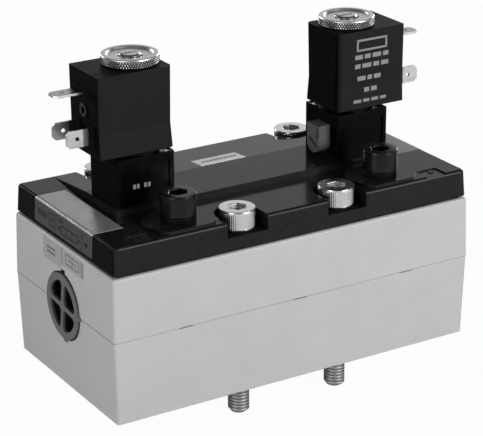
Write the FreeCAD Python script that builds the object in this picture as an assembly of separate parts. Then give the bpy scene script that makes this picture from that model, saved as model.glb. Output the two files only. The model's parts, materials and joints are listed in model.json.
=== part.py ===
import FreeCAD, Part
import math
import os

# Directional control valve with five ports, two positions and two electric pilots.
# Sizes are in millimetres. The origin is the centre of the bottom mounting face,
# +X runs along the length, +Y runs away from the side with the cap screws, +Z is up.
# The pilots, end plugs and pistons are made once for the right end and turned half a
# turn about Z for the left end.

# Body casting, in two drafted halves that meet at the parting line
body_length = 151.0
body_width = 78.3
body_height = 55.0
parting_height = 31.5
parting_step = 0.1
lower_inset = 0.75
upper_inset = 0.55
body_corner_radius = 1.1
body_edge_radius = 1.0

# Spool bore and the ports that cross it
bore_diameter = 26.0
port_count = 5
port_groove_depth = 2.0
port_groove_width = 10.0
port_width = 10.0
port_length = 20.0
port_offset = 17.0
port_depth = 26.0
pilot_hole_diameter = 2.0
pilot_hole_distance = 1.0

# Rubber seal on the mounting face
interface_wall = 3.0
interface_web = 2.0
interface_groove_depth = 1.2
interface_proud = 0.3

# Screws through the cover and the body into the sub-base
mounting_front_spacing = 42.0
mounting_rear_spacing = 83.5
mounting_front_edge = 8.35
mounting_rear_edge = 7.15
mounting_diameter = 8.0
mounting_length = 72.0
mounting_thread_start = 0.6
mounting_waist_diameter = 6.8
mounting_head_diameter = 13.27
mounting_head_height = 8.0
mounting_hole_diameter = 8.6
mounting_relief_diameter = 10.4
mounting_relief_depth = 1.5

# Screws that hold the cover on the body
cover_screw_spacing = 85.4
cover_screw_edge = 11.95
cover_screw_diameter = 8.0
cover_screw_length = 25.0
cover_screw_run_out = 1.6
cover_screw_head_diameter = 13.0
cover_screw_head_height = 8.0
spring_washer_diameter = 12.7
spring_washer_thickness = 2.0
spring_washer_gap = 1.0
socket_width = 6.0
socket_depth = 4.0
screw_tip_chamfer_share = 0.1
screw_head_chamfer_share = 0.0625

# Gasket and cover
gasket_thickness = 1.0
gasket_inset = 1.3
cover_end_margin = 1.05
cover_side_margin = 0.55
cover_height = 10.2
cover_inset = 0.55
cover_corner_radius = 1.6
cover_edge_radius = 1.1
plateau_length = 118.8
plateau_front = 12.7
plateau_ridge = 11.0
plateau_height = 2.5
notch_width = 16.6
notch_floor_drop = 5.7
pad_diameter = 26.0
pad_height = 1.1
recess_length = 8.9
recess_width = 7.6
recess_depth = 0.5
recess_end_distance = 8.8
mark_height = 0.3
mark_length = 2.4
mark_width = 1.0
mark_distance = 1.2
channel_width = 3.0
channel_depth = 2.5

# Spool, its seals and the cages between them
spool_diameter = 16.0
spool_neck_diameter = 10.0
spool_stroke = 8.0
spool_land_lap = 1.4
spool_neck_taper = 1.6
spool_stub_diameter = 8.0
spool_stub_length = 3.0
bore_seal_thickness = 3.0
bore_seal_lip = 1.2
cage_wall = 3.2
cage_flange = 2.8
cage_window_count = 4
cage_window_width = 9.0
retaining_ring_thickness = 1.2
retaining_ring_width = 2.6
retaining_groove_depth = 0.6
retaining_ring_gap = 9.0
retaining_ear_radius = 1.8
retaining_ear_inset = 0.9
retaining_eye_diameter = 1.4

# Pilot pistons at the ends of the spool
piston_thickness = 5.7
piston_seal_width = 2.2
piston_seal_depth = 1.7
piston_nose_diameter = 22.0
piston_nose_length = 1.6
piston_travel_gap = 0.3

# End plugs with a bayonet lock
plug_length = 8.4
plug_proud = 0.4
plug_head_gap = 0.45
plug_rim = 2.7
plug_pocket_depth = 7.0
plug_rib = 1.8
plug_turn = 7.0
plug_pocket_radius = 1.6
plug_seal_width = 2.0
plug_seal_depth = 1.5
plug_seal_distance = 0.8
lock_groove_depth = 1.3
lock_lip = 2.4
lock_lug_thickness = 2.0
lock_lug_width = 3.2
lock_notch_width = 3.6
plug_pointer_width = 1.8
plug_pointer_reach = 0.9
plug_pointer_turn = 84.0

# Pilot valve base
pilot_distance = 45.65
pilot_inner_reach = 11.0
pilot_outer_reach = 11.6
pilot_width = 22.0
pilot_height = 17.5
pilot_edge_radius = 0.9
panel_depth = 0.6
panel_top_margin = 3.0
panel_side_margin = 2.0
pilot_supply_offset = 5.0
pilot_output_offset = 4.0
pilot_passage_diameter = 1.6
pilot_passage_height = 2.0
pilot_gasket_length = 14.0
pilot_gasket_width = 6.0
pilot_gasket_thickness = 0.8
pilot_screw_offset = 7.6
pilot_screw_diameter = 3.0
pilot_screw_head_diameter = 5.5
pilot_screw_head_height = 3.0
pilot_screw_grip = 14.0
pilot_screw_depth = 8.0
pilot_screw_socket_width = 2.5
pilot_screw_socket_depth = 1.5
chamber_diameter = 10.4
chamber_floor = 8.3
nozzle_diameter = 3.4
nozzle_bore = 1.2
nozzle_height = 2.0

# Armature tube and plunger
tube_flange_diameter = 21.4
tube_flange_thickness = 1.5
tube_boss_diameter = 13.0
tube_boss_length = 4.3
tube_diameter = 9.0
tube_bore = 8.0
stud_diameter = 7.8
stud_chamfer = 0.5
stud_slot_width = 1.2
stud_slot_depth = 1.0
plunger_length = 22.4
plunger_stroke = 1.2
plunger_air_gap = 0.1
plunger_skirt_diameter = 9.0
plunger_skirt_bore = 5.4
plunger_skirt_drop = 0.6
plunger_skirt_thickness = 2.0
plunger_seal_diameter = 3.8
plunger_seal_thickness = 1.4
spring_pocket_diameter = 4.4
spring_pocket_depth = 8.0
spring_wire = 0.5
spring_diameter = 3.5
spring_turns = 4
spring_wire_sides = 6

# Coil, its terminals and its nut
coil_height = 29.7
coil_inner_reach = 10.85
coil_outer_reach = 18.6
coil_width = 21.9
coil_flare = 0.25
coil_waist = 0.25
coil_waist_height = 9.0
coil_back_radius = 2.2
coil_front_radius = 0.6
coil_bore_clearance = 0.1
terminal_thickness = 0.8
terminal_width = 6.3
terminal_embedded = 3.0
power_terminal_length = 10.0
power_terminal_spacing = 11.0
power_terminal_height = 7.65
ground_terminal_length = 12.5
ground_terminal_height = 22.9
terminal_tip_chamfer = 1.3
terminal_hole_diameter = 1.6
terminal_hole_distance = 4.2
terminal_pad_height = 1.2
terminal_pad_margin = 0.9
insert_diameter = 5.0
insert_length = 6.4
insert_proud = 0.4
insert_height = 15.7
insert_thread_diameter = 2.5
insert_thread_depth = 6.0
nut_diameter = 21.0
nut_height = 3.6
nut_rim_width = 1.3
nut_face_drop = 0.8
nut_collar_width = 1.2
nut_edge_chamfer = 0.5
nut_gap = 0.2
washer_diameter = 12.8
washer_thickness = 0.8

# Manual override lever
override_height = 6.3
override_side = 2.8
override_width = 8.0
override_top = 7.0
override_protrusion = 5.1
override_face_gap = 0.3
override_shaft_diameter = 6.0
override_shaft_length = 7.4
override_cam_length = 3.4
override_seal_width = 1.6
override_seal_depth = 1.0
override_slot_width = 1.1
override_slot_length = 5.6
override_slot_depth = 1.2
override_slot_turn = 35.0
override_mark_near = 0.8
override_mark_far = 3.6
override_mark_foot = 2.2
override_mark_rise = 2.1
override_mark_height = 0.6

# Cutting tools run this far past the surfaces that they cut
overshoot = 1.0

# Clearances
running_clearance = 0.05
fit_clearance = 0.1
thread_clearance = 0.05
seal_clearance = 0.02
passage_clearance = 0.5

# Places that follow from the sizes above
bore_height = parting_height
bore_radius = bore_diameter / 2
cover_length = body_length - 2 * cover_end_margin
cover_width = body_width - 2 * cover_side_margin
cover_bottom = body_height + gasket_thickness
cover_top = cover_bottom + cover_height
plateau_top = cover_top + plateau_height
notch_floor = cover_top - notch_floor_drop
pad_top = cover_top + pad_height
pad_front = cover_width / 2 - cover_inset - cover_edge_radius
cover_screw_seat = pad_top + spring_washer_thickness
cage_radius = bore_radius - running_clearance
retaining_ring_outer = bore_radius + retaining_groove_depth
plug_outer_face = body_length / 2 + plug_proud
plug_inner_face = plug_outer_face - plug_length
piston_outer_face = plug_inner_face - piston_travel_gap - spool_stroke / 2
piston_inner_face = piston_outer_face - piston_thickness
seal_pack_end = piston_inner_face - spool_stroke / 2 - piston_travel_gap - retaining_ring_thickness
port_pitch = (seal_pack_end - bore_seal_thickness / 2) / (port_count / 2)
pilot_hole_x = plug_inner_face - pilot_hole_distance
spool_rest = -spool_stroke / 2
spool_cover = bore_seal_lip / 2 + spool_land_lap
spool_land_inner = port_pitch / 2 - spool_cover + spool_stroke / 2
spool_land_outer = port_pitch * 3 / 2 + spool_cover - spool_stroke / 2
spool_journal_start = port_pitch * 5 / 2 - spool_cover - spool_stroke / 2
pilot_inner_face = pilot_distance - pilot_inner_reach
pilot_outer_face = pilot_distance + pilot_outer_reach
pilot_top = plateau_top + pilot_height
coil_bottom = pilot_top + tube_flange_thickness
coil_top = coil_bottom + coil_height
chamber_bottom = plateau_top + chamber_floor
nozzle_top = chamber_bottom + nozzle_height
plunger_bottom = nozzle_top + running_clearance
plunger_top = plunger_bottom + plunger_length
core_face = plunger_top + plunger_stroke + plunger_air_gap
plunger_radius = tube_bore / 2 - running_clearance
override_axis_height = plateau_top + override_height
coil_outer_face = pilot_distance + coil_outer_reach

X_AXIS = FreeCAD.Vector(1, 0, 0)
Z_AXIS = FreeCAD.Vector(0, 0, 1)
ORIGIN = FreeCAD.Vector(0, 0, 0)


def box(x_low, x_high, y_low, y_high, z_low, z_high):
    """A block between two corners."""
    corner = FreeCAD.Vector(x_low, y_low, z_low)
    return Part.makeBox(x_high - x_low, y_high - y_low, z_high - z_low, corner)


def upright(radius, x, y, z_low, z_high):
    """A round bar along Z."""
    return Part.makeCylinder(radius, z_high - z_low, FreeCAD.Vector(x, y, z_low), Z_AXIS)


def level(radius, x_low, x_high, y, z):
    """A round bar along X."""
    return Part.makeCylinder(radius, x_high - x_low, FreeCAD.Vector(x_low, y, z), X_AXIS)


def turned_upright(profile, x, y):
    """A solid turned about a vertical axis from points (radius, height)."""
    points = [FreeCAD.Vector(x + radius, y, height) for radius, height in profile]
    face = Part.Face(Part.makePolygon(points + points[:1]))
    return face.revolve(FreeCAD.Vector(x, y, 0), Z_AXIS, 360)


def turned_level(profile, y, z):
    """A solid turned about an axis along X from points (radius, place along X)."""
    points = [FreeCAD.Vector(along, y, z + radius) for radius, along in profile]
    face = Part.Face(Part.makePolygon(points + points[:1]))
    return face.revolve(FreeCAD.Vector(0, y, z), X_AXIS, 360)


def rounded_outline(x_low, x_high, y_low, y_high, radius_low, radius_high, height):
    """A level rectangle with arcs at its corners, one radius at each end of X."""
    corners = [
        (x_low, y_low, radius_low, 180),
        (x_high, y_low, radius_high, 270),
        (x_high, y_high, radius_high, 0),
        (x_low, y_high, radius_low, 90),
    ]
    arcs = []
    for corner_x, corner_y, radius, start in corners:
        centre_x = corner_x + (radius if corner_x == x_low else -radius)
        centre_y = corner_y + (radius if corner_y == y_low else -radius)
        points = []
        for turn in (start, start + 45, start + 90):
            angle = math.radians(turn)
            point_x = centre_x + radius * math.cos(angle)
            point_y = centre_y + radius * math.sin(angle)
            points.append(FreeCAD.Vector(point_x, point_y, height))
        arcs.append(points)
    edges = []
    for index, points in enumerate(arcs):
        following = arcs[(index + 1) % len(arcs)]
        edges.append(Part.Arc(*points).toShape())
        edges.append(Part.LineSegment(points[2], following[0]).toShape())
    return Part.Wire(edges)


def drafted_block(length_low, width_low, z_low, length_high, width_high, z_high, radius):
    """A centred block whose sides lean in from one level to the other."""
    outlines = []
    for length, width, height in ((length_low, width_low, z_low), (length_high, width_high, z_high)):
        half_x = length / 2
        half_y = width / 2
        outlines.append(rounded_outline(-half_x, half_x, -half_y, half_y, radius, radius, height))
    return Part.makeLoft(outlines, True, True)


def level_edges(shape, height):
    """The edges of a shape that lie wholly at one height."""
    found = []
    for edge in shape.Edges:
        if all(abs(vertex.Z - height) < 1e-6 for vertex in edge.Vertexes):
            found.append(edge)
    return found


def oval(x, y, width, length, z_low, z_high):
    """A prism with an oval outline that is long in Y."""
    straight = (length - width) / 2
    radius = width / 2
    shape = box(x - radius, x + radius, y - straight, y + straight, z_low, z_high)
    for end in (y - straight, y + straight):
        shape = shape.fuse(upright(radius, x, end, z_low, z_high))
    return shape.removeSplitter()


def hexagon(x, y, width, z_low, z_high):
    """A hexagonal prism along Z, width across its flats."""
    radius = width / math.sqrt(3)
    points = []
    for index in range(6):
        angle = math.radians(60 * index)
        points.append(FreeCAD.Vector(x + radius * math.cos(angle), y + radius * math.sin(angle), z_low))
    face = Part.Face(Part.makePolygon(points + points[:1]))
    return face.extrude(FreeCAD.Vector(0, 0, z_high - z_low))


def half_turn(shape):
    """The same piece at the left end, turned half a turn about Z."""
    turned = shape.copy()
    turned.rotate(ORIGIN, Z_AXIS, 180)
    return turned


def mounting_places():
    """Centres of the four mounting screws, two in front and two behind."""
    front = mounting_front_spacing / 2
    rear = mounting_rear_spacing / 2
    front_row = mounting_front_edge - body_width / 2
    rear_row = body_width / 2 - mounting_rear_edge
    return [(-front, front_row), (front, front_row), (-rear, rear_row), (rear, rear_row)]


def cover_screw_places():
    """Centres of the two cover screws."""
    half = cover_screw_spacing / 2
    row = cover_screw_edge - body_width / 2
    return [(-half, row), (half, row)]


def port_centre(number):
    """The place along X of a port, numbered from 0 at the left end."""
    return (number - (port_count - 1) / 2) * port_pitch


def port_places():
    """Centres of the oval ports on the mounting face, by turns in front and behind."""
    places = []
    for number in range(port_count):
        row = port_offset if number % 2 else -port_offset
        places.append((port_centre(number), row))
    return places


def interface_figure(clearance, z_low, z_high):
    """Rings round the ports, joined by webs into one seal."""
    wall = interface_wall - clearance
    web = interface_web / 2 - clearance
    places = port_places()
    links = [(number, number + 2) for number in range(port_count - 2)]
    links += [(number, number + 1) for number in range(1, port_count - 2)]
    figure = None
    for start, end in links:
        first = FreeCAD.Vector(*places[start], z_low)
        second = FreeCAD.Vector(*places[end], z_low)
        along = second - first
        across = FreeCAD.Vector(-along.y, along.x, 0).normalize() * web
        corners = [first + across, second + across, second - across, first - across]
        strip = Part.Face(Part.makePolygon(corners + corners[:1])).extrude(
            FreeCAD.Vector(0, 0, z_high - z_low)
        )
        figure = strip if figure is None else figure.fuse(strip)
    for x, y in places:
        figure = figure.fuse(oval(x, y, port_width + 2 * wall, port_length + 2 * wall, z_low, z_high))
    for x, y in places:
        figure = figure.cut(oval(x, y, port_width, port_length, z_low - overshoot, z_high + overshoot))
    return figure.removeSplitter()


def make_valve_body():
    """The grey casting with its spool bore, ports, screw holes and plug seats."""
    lower = drafted_block(
        body_length - 2 * (parting_step + lower_inset),
        body_width - 2 * (parting_step + lower_inset),
        0,
        body_length - 2 * parting_step,
        body_width - 2 * parting_step,
        parting_height,
        body_corner_radius,
    )
    upper = drafted_block(
        body_length,
        body_width,
        parting_height,
        body_length - 2 * upper_inset,
        body_width - 2 * upper_inset,
        body_height,
        body_corner_radius,
    )
    upper = upper.makeFillet(body_edge_radius, level_edges(upper, body_height))
    body = lower.fuse(upper)
    end = body_length / 2 + overshoot
    tools = [level(bore_radius, -end, end, 0, bore_height)]
    groove_radius = bore_radius + port_groove_depth
    half_groove = port_groove_width / 2
    for x, y in port_places():
        tools.append(level(groove_radius, x - half_groove, x + half_groove, 0, bore_height))
        tools.append(oval(x, y, port_width, port_length, -overshoot, port_depth))
    tools.append(interface_figure(0, -overshoot, interface_groove_depth))
    top = body_height + overshoot
    for x, y in mounting_places():
        tools.append(upright(mounting_hole_diameter / 2, x, y, -overshoot, top))
        tools.append(upright(mounting_relief_diameter / 2, x, y, -overshoot, mounting_relief_depth))
    thread_radius = cover_screw_diameter / 2 + thread_clearance
    thread_bottom = cover_screw_seat - cover_screw_length - cover_screw_run_out
    for x, y in cover_screw_places():
        tools.append(upright(thread_radius, x, y, thread_bottom, top))
    for x in (-pilot_hole_x, 0, pilot_hole_x):
        tools.append(upright(pilot_hole_diameter / 2, x, 0, bore_height, top))
    for side in (-1, 1):
        tools += end_seat_tools(side)
    return body.cut(tools)


def end_seat_tools(side):
    """Grooves and notches that take the retaining ring and the bayonet plug at one end."""
    tools = []
    ring_start = seal_pack_end
    ring_end = seal_pack_end + retaining_ring_thickness + fit_clearance
    lock_end = body_length / 2 - lock_lip
    lock_start = lock_end - lock_lug_thickness - 2 * fit_clearance
    groove_radius = bore_radius + lock_groove_depth
    for radius, start, end in (
        (retaining_ring_outer, ring_start, ring_end),
        (groove_radius, lock_start, lock_end),
    ):
        low, high = sorted((side * start, side * end))
        tools.append(level(radius, low, high, 0, bore_height))
    low, high = sorted((side * lock_start, side * (body_length / 2 + overshoot)))
    mouth = level(groove_radius, low, high, 0, bore_height)
    half_notch = lock_notch_width / 2
    slot = box(low, high, -half_notch, half_notch, bore_height - 2 * bore_radius, bore_height + 2 * bore_radius)
    tools.append(mouth.common(slot))
    return tools


def make_interface_gasket():
    """The moulded rubber seal in the mounting face, standing a little proud."""
    return interface_figure(fit_clearance, -interface_proud, interface_groove_depth)


def make_cover_gasket():
    """The thin sheet between the body and the cover, which keeps the waisted screws captive."""
    length = cover_length - 2 * gasket_inset
    width = cover_width - 2 * gasket_inset
    sheet = drafted_block(
        length, width, body_height, length, width, cover_bottom, cover_corner_radius
    )
    tools = []
    low = body_height - overshoot
    high = cover_bottom + overshoot
    for x, y in mounting_places():
        tools.append(upright(mounting_waist_diameter / 2 + fit_clearance, x, y, low, high))
    for x, y in cover_screw_places():
        tools.append(upright(cover_screw_diameter / 2 + thread_clearance, x, y, low, high))
    for x in (-pilot_hole_x, 0, pilot_hole_x):
        tools.append(upright(pilot_hole_diameter / 2 + passage_clearance / 2, x, 0, low, high))
    return sheet.cut(tools)


def plateau():
    """The raised middle of the cover, level in front and sloping down to the back edge."""
    half = plateau_length / 2
    back = cover_width / 2 - cover_inset - cover_edge_radius
    sunk = cover_top - overshoot
    outline = [
        (-plateau_front, sunk),
        (-plateau_front, plateau_top),
        (plateau_ridge, plateau_top),
        (back, cover_top),
        (back, sunk),
    ]
    points = [FreeCAD.Vector(-half, y, z) for y, z in outline]
    face = Part.Face(Part.makePolygon(points + points[:1]))
    return face.extrude(FreeCAD.Vector(plateau_length, 0, 0))


def notch(x, y):
    """A notch open to the long side of the cover, round about its screw."""
    radius = notch_width / 2
    reach = cover_width
    y_low, y_high = (y - reach, y) if y < 0 else (y, y + reach)
    top = plateau_top + overshoot
    tool = upright(radius, x, y, notch_floor, top)
    tool = tool.fuse(box(x - radius, x + radius, y_low, y_high, notch_floor, top))
    return tool.removeSplitter()


def screw_pad(x, y):
    """A low round pad under a cover screw, cut off level at the front edge."""
    radius = pad_diameter / 2
    low = cover_top - overshoot
    pad = upright(radius, x, y, low, pad_top)
    return pad.common(box(x - radius, x + radius, -pad_front, y + radius, low, pad_top))


def make_cover():
    """The black cover with its plateau, notches, screw pads and air channels."""
    cover = drafted_block(
        cover_length,
        cover_width,
        cover_bottom,
        cover_length - 2 * cover_inset,
        cover_width - 2 * cover_inset,
        cover_top,
        cover_corner_radius,
    )
    cover = cover.makeFillet(cover_edge_radius, level_edges(cover, cover_top))
    cover = cover.fuse(plateau())
    for x, y in cover_screw_places():
        cover = cover.fuse(screw_pad(x, y))
    low = cover_bottom - overshoot
    high = plateau_top + overshoot
    tools = []
    for x, y in mounting_places():
        tools.append(notch(x, y))
        tools.append(upright(mounting_hole_diameter / 2, x, y, low, high))
    for x, y in cover_screw_places():
        tools.append(upright(cover_screw_diameter / 2 + passage_clearance / 2, x, y, low, high))
    tools += channel_tools()
    screw_radius = pilot_screw_diameter / 2 + thread_clearance
    for x, y in pilot_screw_places():
        tool = upright(screw_radius, x, y, plateau_top - pilot_screw_depth, high)
        tools += [tool, half_turn(tool)]
    for side in (-1, 1):
        tools.append(recess_tool(side))
    return cover.cut(tools)


def channel_tools():
    """Air channels in the cover's underside and the holes from them up to the pilots."""
    half = channel_width / 2
    top = cover_bottom + channel_depth
    supply = pilot_distance - pilot_supply_offset
    output = pilot_distance + pilot_output_offset
    hole = pilot_passage_diameter / 2
    bottom = cover_bottom - overshoot
    tools = [box(-supply - half, supply + half, -half, half, bottom, top)]
    for side in (-1, 1):
        low, high = sorted((side * (output - half), side * (pilot_hole_x + half)))
        tools.append(box(low, high, -half, half, bottom, top))
        for x in (supply, output):
            tools.append(upright(hole, side * x, 0, cover_bottom, plateau_top + overshoot))
    return tools


def recess_tool(side):
    """A shallow recess that opens at the front edge, with two raised bars left in it."""
    outer = cover_length / 2 - recess_end_distance
    inner = outer - recess_length
    front = -cover_width / 2
    back = front + cover_inset + recess_width
    low, high = sorted((side * inner, side * outer))
    floor = cover_top - recess_depth
    pocket = box(low, high, front - overshoot, back, floor, cover_top + overshoot)
    middle = (low + high) / 2
    rise = floor + mark_height
    mark_back = back - mark_distance
    long_bar = box(middle, middle + mark_length, mark_back - mark_width, mark_back, floor, rise)
    short_bar = box(middle, middle + mark_width, mark_back - mark_length, mark_back, floor, rise)
    return pocket.cut([long_bar, short_bar])


def make_port_cage(number):
    """A windowed spacer that holds two bore seals apart round one port."""
    centre = port_centre(number)
    half = (port_pitch - bore_seal_thickness) / 2
    inner = spool_diameter / 2 + running_clearance
    relief = cage_radius - cage_wall
    flange = half - cage_flange
    profile = [
        (inner, centre - half),
        (cage_radius, centre - half),
        (cage_radius, centre + half),
        (inner, centre + half),
        (inner, centre + flange),
        (relief, centre + flange),
        (relief, centre - flange),
        (inner, centre - flange),
    ]
    cage = turned_level(profile, 0, bore_height)
    half_window = cage_window_width / 2
    windows = []
    for turn in range(cage_window_count):
        window = box(
            centre - flange, centre + flange, -half_window, half_window, relief - overshoot, bore_radius
        )
        window.translate(FreeCAD.Vector(0, 0, bore_height))
        window.rotate(
            FreeCAD.Vector(0, 0, bore_height), X_AXIS, 360 / cage_window_count * turn
        )
        windows.append(window)
    return cage.cut(windows)


def make_bore_seal(number):
    """A rubber ring with a narrow lip that the spool slides through."""
    centre = port_centre(number) - port_pitch / 2
    half = bore_seal_thickness / 2
    lip = bore_seal_lip / 2
    inner = spool_diameter / 2 + running_clearance
    outer = bore_radius - seal_clearance
    profile = [
        (outer, centre - half),
        (outer, centre + half),
        (inner, centre + lip),
        (inner, centre - lip),
    ]
    return turned_level(profile, 0, bore_height)


def make_retaining_ring():
    """The open spring ring with two eyed ears that locks the right end of the seal pack."""
    start = seal_pack_end
    end = start + retaining_ring_thickness
    outer = retaining_ring_outer - fit_clearance
    inner = outer - retaining_ring_width
    ring = level(outer, start, end, 0, bore_height)
    low = start - overshoot
    high = end + overshoot
    ring = ring.cut(level(inner, low, high, 0, bore_height))
    half_gap = retaining_ring_gap / 2
    ring = ring.cut(box(low, high, -half_gap, half_gap, bore_height, bore_height + 2 * outer))
    ear_reach = bore_radius - fit_clearance - retaining_ear_radius
    ear_offset = half_gap + retaining_ear_inset
    ear_height = bore_height + math.sqrt(ear_reach ** 2 - ear_offset ** 2)
    for side in (-1, 1):
        ear_y = side * ear_offset
        ring = ring.fuse(level(retaining_ear_radius, start, end, ear_y, ear_height))
        ring = ring.cut(level(retaining_eye_diameter / 2, low, high, ear_y, ear_height))
    return ring.removeSplitter()


def make_spool():
    """The spool with two lands between its necks, shown at the left end of its stroke."""
    full = spool_diameter / 2
    neck = spool_neck_diameter / 2
    stub = spool_stub_diameter / 2
    taper = spool_neck_taper
    half = [
        (neck, 0),
        (neck, spool_land_inner - taper),
        (full, spool_land_inner),
        (full, spool_land_outer),
        (neck, spool_land_outer + taper),
        (neck, spool_journal_start - taper),
        (full, spool_journal_start),
        (full, piston_inner_face),
        (stub, piston_inner_face),
        (stub, piston_inner_face + spool_stub_length),
    ]
    mirrored = [(radius, -along) for radius, along in reversed(half[1:])]
    last = piston_inner_face + spool_stub_length
    profile = [(0, -last)] + mirrored + half + [(0, last)]
    spool = turned_level(profile, 0, bore_height)
    spool.translate(FreeCAD.Vector(spool_rest, 0, 0))
    return spool


def make_piston(side):
    """A pilot piston on the end of the spool, with a groove for its seal."""
    outer = bore_radius - fit_clearance
    groove = outer - piston_seal_depth
    nose = piston_nose_diameter / 2
    nose_start = piston_outer_face - piston_nose_length
    groove_middle = (piston_inner_face + nose_start) / 2
    groove_low = groove_middle - piston_seal_width / 2
    groove_high = groove_middle + piston_seal_width / 2
    socket = spool_stub_diameter / 2 + running_clearance
    socket_end = piston_inner_face + spool_stub_length + running_clearance
    profile = [
        (socket, piston_inner_face),
        (outer, piston_inner_face),
        (outer, groove_low),
        (groove, groove_low),
        (groove, groove_high),
        (outer, groove_high),
        (outer, nose_start),
        (nose, nose_start),
        (nose, piston_outer_face),
        (0, piston_outer_face),
        (0, socket_end),
        (socket, socket_end),
    ]
    profile = [(radius, side * along) for radius, along in profile]
    piston = turned_level(profile, 0, bore_height)
    piston.translate(FreeCAD.Vector(spool_rest, 0, 0))
    return piston


def sealing_ring(inner, outer, middle, width, y, z):
    """A rubber ring about an axis along X, with rounded-off section corners."""
    half = width / 2
    bevel = width / 4
    profile = [
        (inner, middle - half + bevel),
        ((inner + outer) / 2, middle - half),
        (outer, middle - half + bevel),
        (outer, middle + half - bevel),
        ((inner + outer) / 2, middle + half),
        (inner, middle + half - bevel),
    ]
    return turned_level(profile, y, z)


def make_piston_seal(side):
    """The rubber ring in a piston's groove."""
    inner = bore_radius - fit_clearance - piston_seal_depth + seal_clearance
    outer = bore_radius - seal_clearance
    nose_start = piston_outer_face - piston_nose_length
    middle = side * (piston_inner_face + nose_start) / 2
    width = piston_seal_width - 2 * seal_clearance
    ring = sealing_ring(inner, outer, middle, width, 0, bore_height)
    ring.translate(FreeCAD.Vector(spool_rest, 0, 0))
    return ring


def make_end_plug():
    """The right end plug: a rim and cross ribs outside, a seal groove and two lugs inside."""
    outer = bore_radius - fit_clearance
    head = outer - plug_head_gap
    groove = outer - plug_seal_depth
    groove_low = plug_inner_face + plug_seal_distance
    groove_high = groove_low + plug_seal_width
    lug_high = body_length / 2 - lock_lip - fit_clearance
    profile = [
        (0, plug_inner_face),
        (outer, plug_inner_face),
        (outer, groove_low),
        (groove, groove_low),
        (groove, groove_high),
        (outer, groove_high),
        (outer, lug_high),
        (head, lug_high),
        (head, plug_outer_face),
        (0, plug_outer_face),
    ]
    plug = turned_level(profile, 0, bore_height)
    pocket_floor = plug_outer_face - plug_pocket_depth
    pockets = level(head - plug_rim, pocket_floor, plug_outer_face + overshoot, 0, bore_height)
    upright_rib = box(
        pocket_floor - overshoot,
        plug_outer_face + 2 * overshoot,
        -plug_rib / 2,
        plug_rib / 2,
        bore_height - bore_radius,
        bore_height + bore_radius,
    )
    level_rib = upright_rib.copy()
    level_rib.rotate(FreeCAD.Vector(0, 0, bore_height), X_AXIS, 90)
    pockets = pockets.cut([upright_rib, level_rib])
    corners = [edge for edge in pockets.Edges if abs(edge.tangentAt(edge.FirstParameter).x) > 0.99]
    plug = plug.cut(pockets.makeFillet(plug_pocket_radius, corners))
    lug_low = lug_high - lock_lug_thickness
    lug_radius = bore_radius + lock_groove_depth - fit_clearance
    lugs = level(lug_radius, lug_low, lug_high, 0, bore_height)
    low = lug_low - overshoot
    high = lug_high + overshoot
    lugs = lugs.cut(level(outer - overshoot, low, high, 0, bore_height))
    half_lug = lock_lug_width / 2
    strip = box(low, high, -lug_radius, lug_radius, bore_height - half_lug, bore_height + half_lug)
    plug = plug.fuse(lugs.common(strip))
    half_pointer = plug_pointer_width / 2
    pointer = box(
        body_length / 2,
        plug_outer_face,
        -half_pointer,
        half_pointer,
        bore_height + head - overshoot,
        bore_height + outer + plug_pointer_reach,
    )
    centre = FreeCAD.Vector(0, 0, bore_height)
    pointer.rotate(centre, X_AXIS, -plug_pointer_turn)
    plug = plug.fuse(pointer).removeSplitter()
    plug.rotate(centre, X_AXIS, -plug_turn)
    return plug


def make_plug_seal():
    """The rubber ring in the right end plug's groove."""
    inner = bore_radius - fit_clearance - plug_seal_depth + seal_clearance
    outer = bore_radius - seal_clearance
    middle = plug_inner_face + plug_seal_distance + plug_seal_width / 2
    width = plug_seal_width - 2 * seal_clearance
    return sealing_ring(inner, outer, middle, width, 0, bore_height)


def socket_screw(x, y, seat, diameter, length, head_diameter, head_height, hex_width, hex_depth):
    """A socket screw along Z whose head sits at the given height, chamfered at both ends."""
    shank = diameter / 2
    head = head_diameter / 2
    top = seat + head_height
    tip = seat - length
    tip_chamfer = screw_tip_chamfer_share * diameter
    head_chamfer = screw_head_chamfer_share * diameter
    profile = [
        (0, tip),
        (shank - tip_chamfer, tip),
        (shank, tip + tip_chamfer),
        (shank, seat),
        (head - head_chamfer, seat),
        (head, seat + 2 * head_chamfer),
        (head, top - head_chamfer),
        (head - head_chamfer, top),
        (0, top),
    ]
    screw = turned_upright(profile, x, y)
    return screw.cut(hexagon(x, y, hex_width, top - hex_depth, top + overshoot))


def make_mounting_screws():
    """Four captive screws, thin above their threaded ends, that reach past the mounting face."""
    full = mounting_diameter / 2
    waist = mounting_waist_diameter / 2
    relief = [
        (full, mounting_thread_start),
        (full + overshoot, mounting_thread_start),
        (full + overshoot, notch_floor),
        (waist, notch_floor),
        (waist, mounting_thread_start + full - waist),
    ]
    screws = []
    for x, y in mounting_places():
        screw = socket_screw(
            x,
            y,
            notch_floor,
            mounting_diameter,
            mounting_length,
            mounting_head_diameter,
            mounting_head_height,
            socket_width,
            socket_depth,
        )
        screws.append(screw.cut(turned_upright(relief, x, y)))
    return Part.makeCompound(screws)


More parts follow.
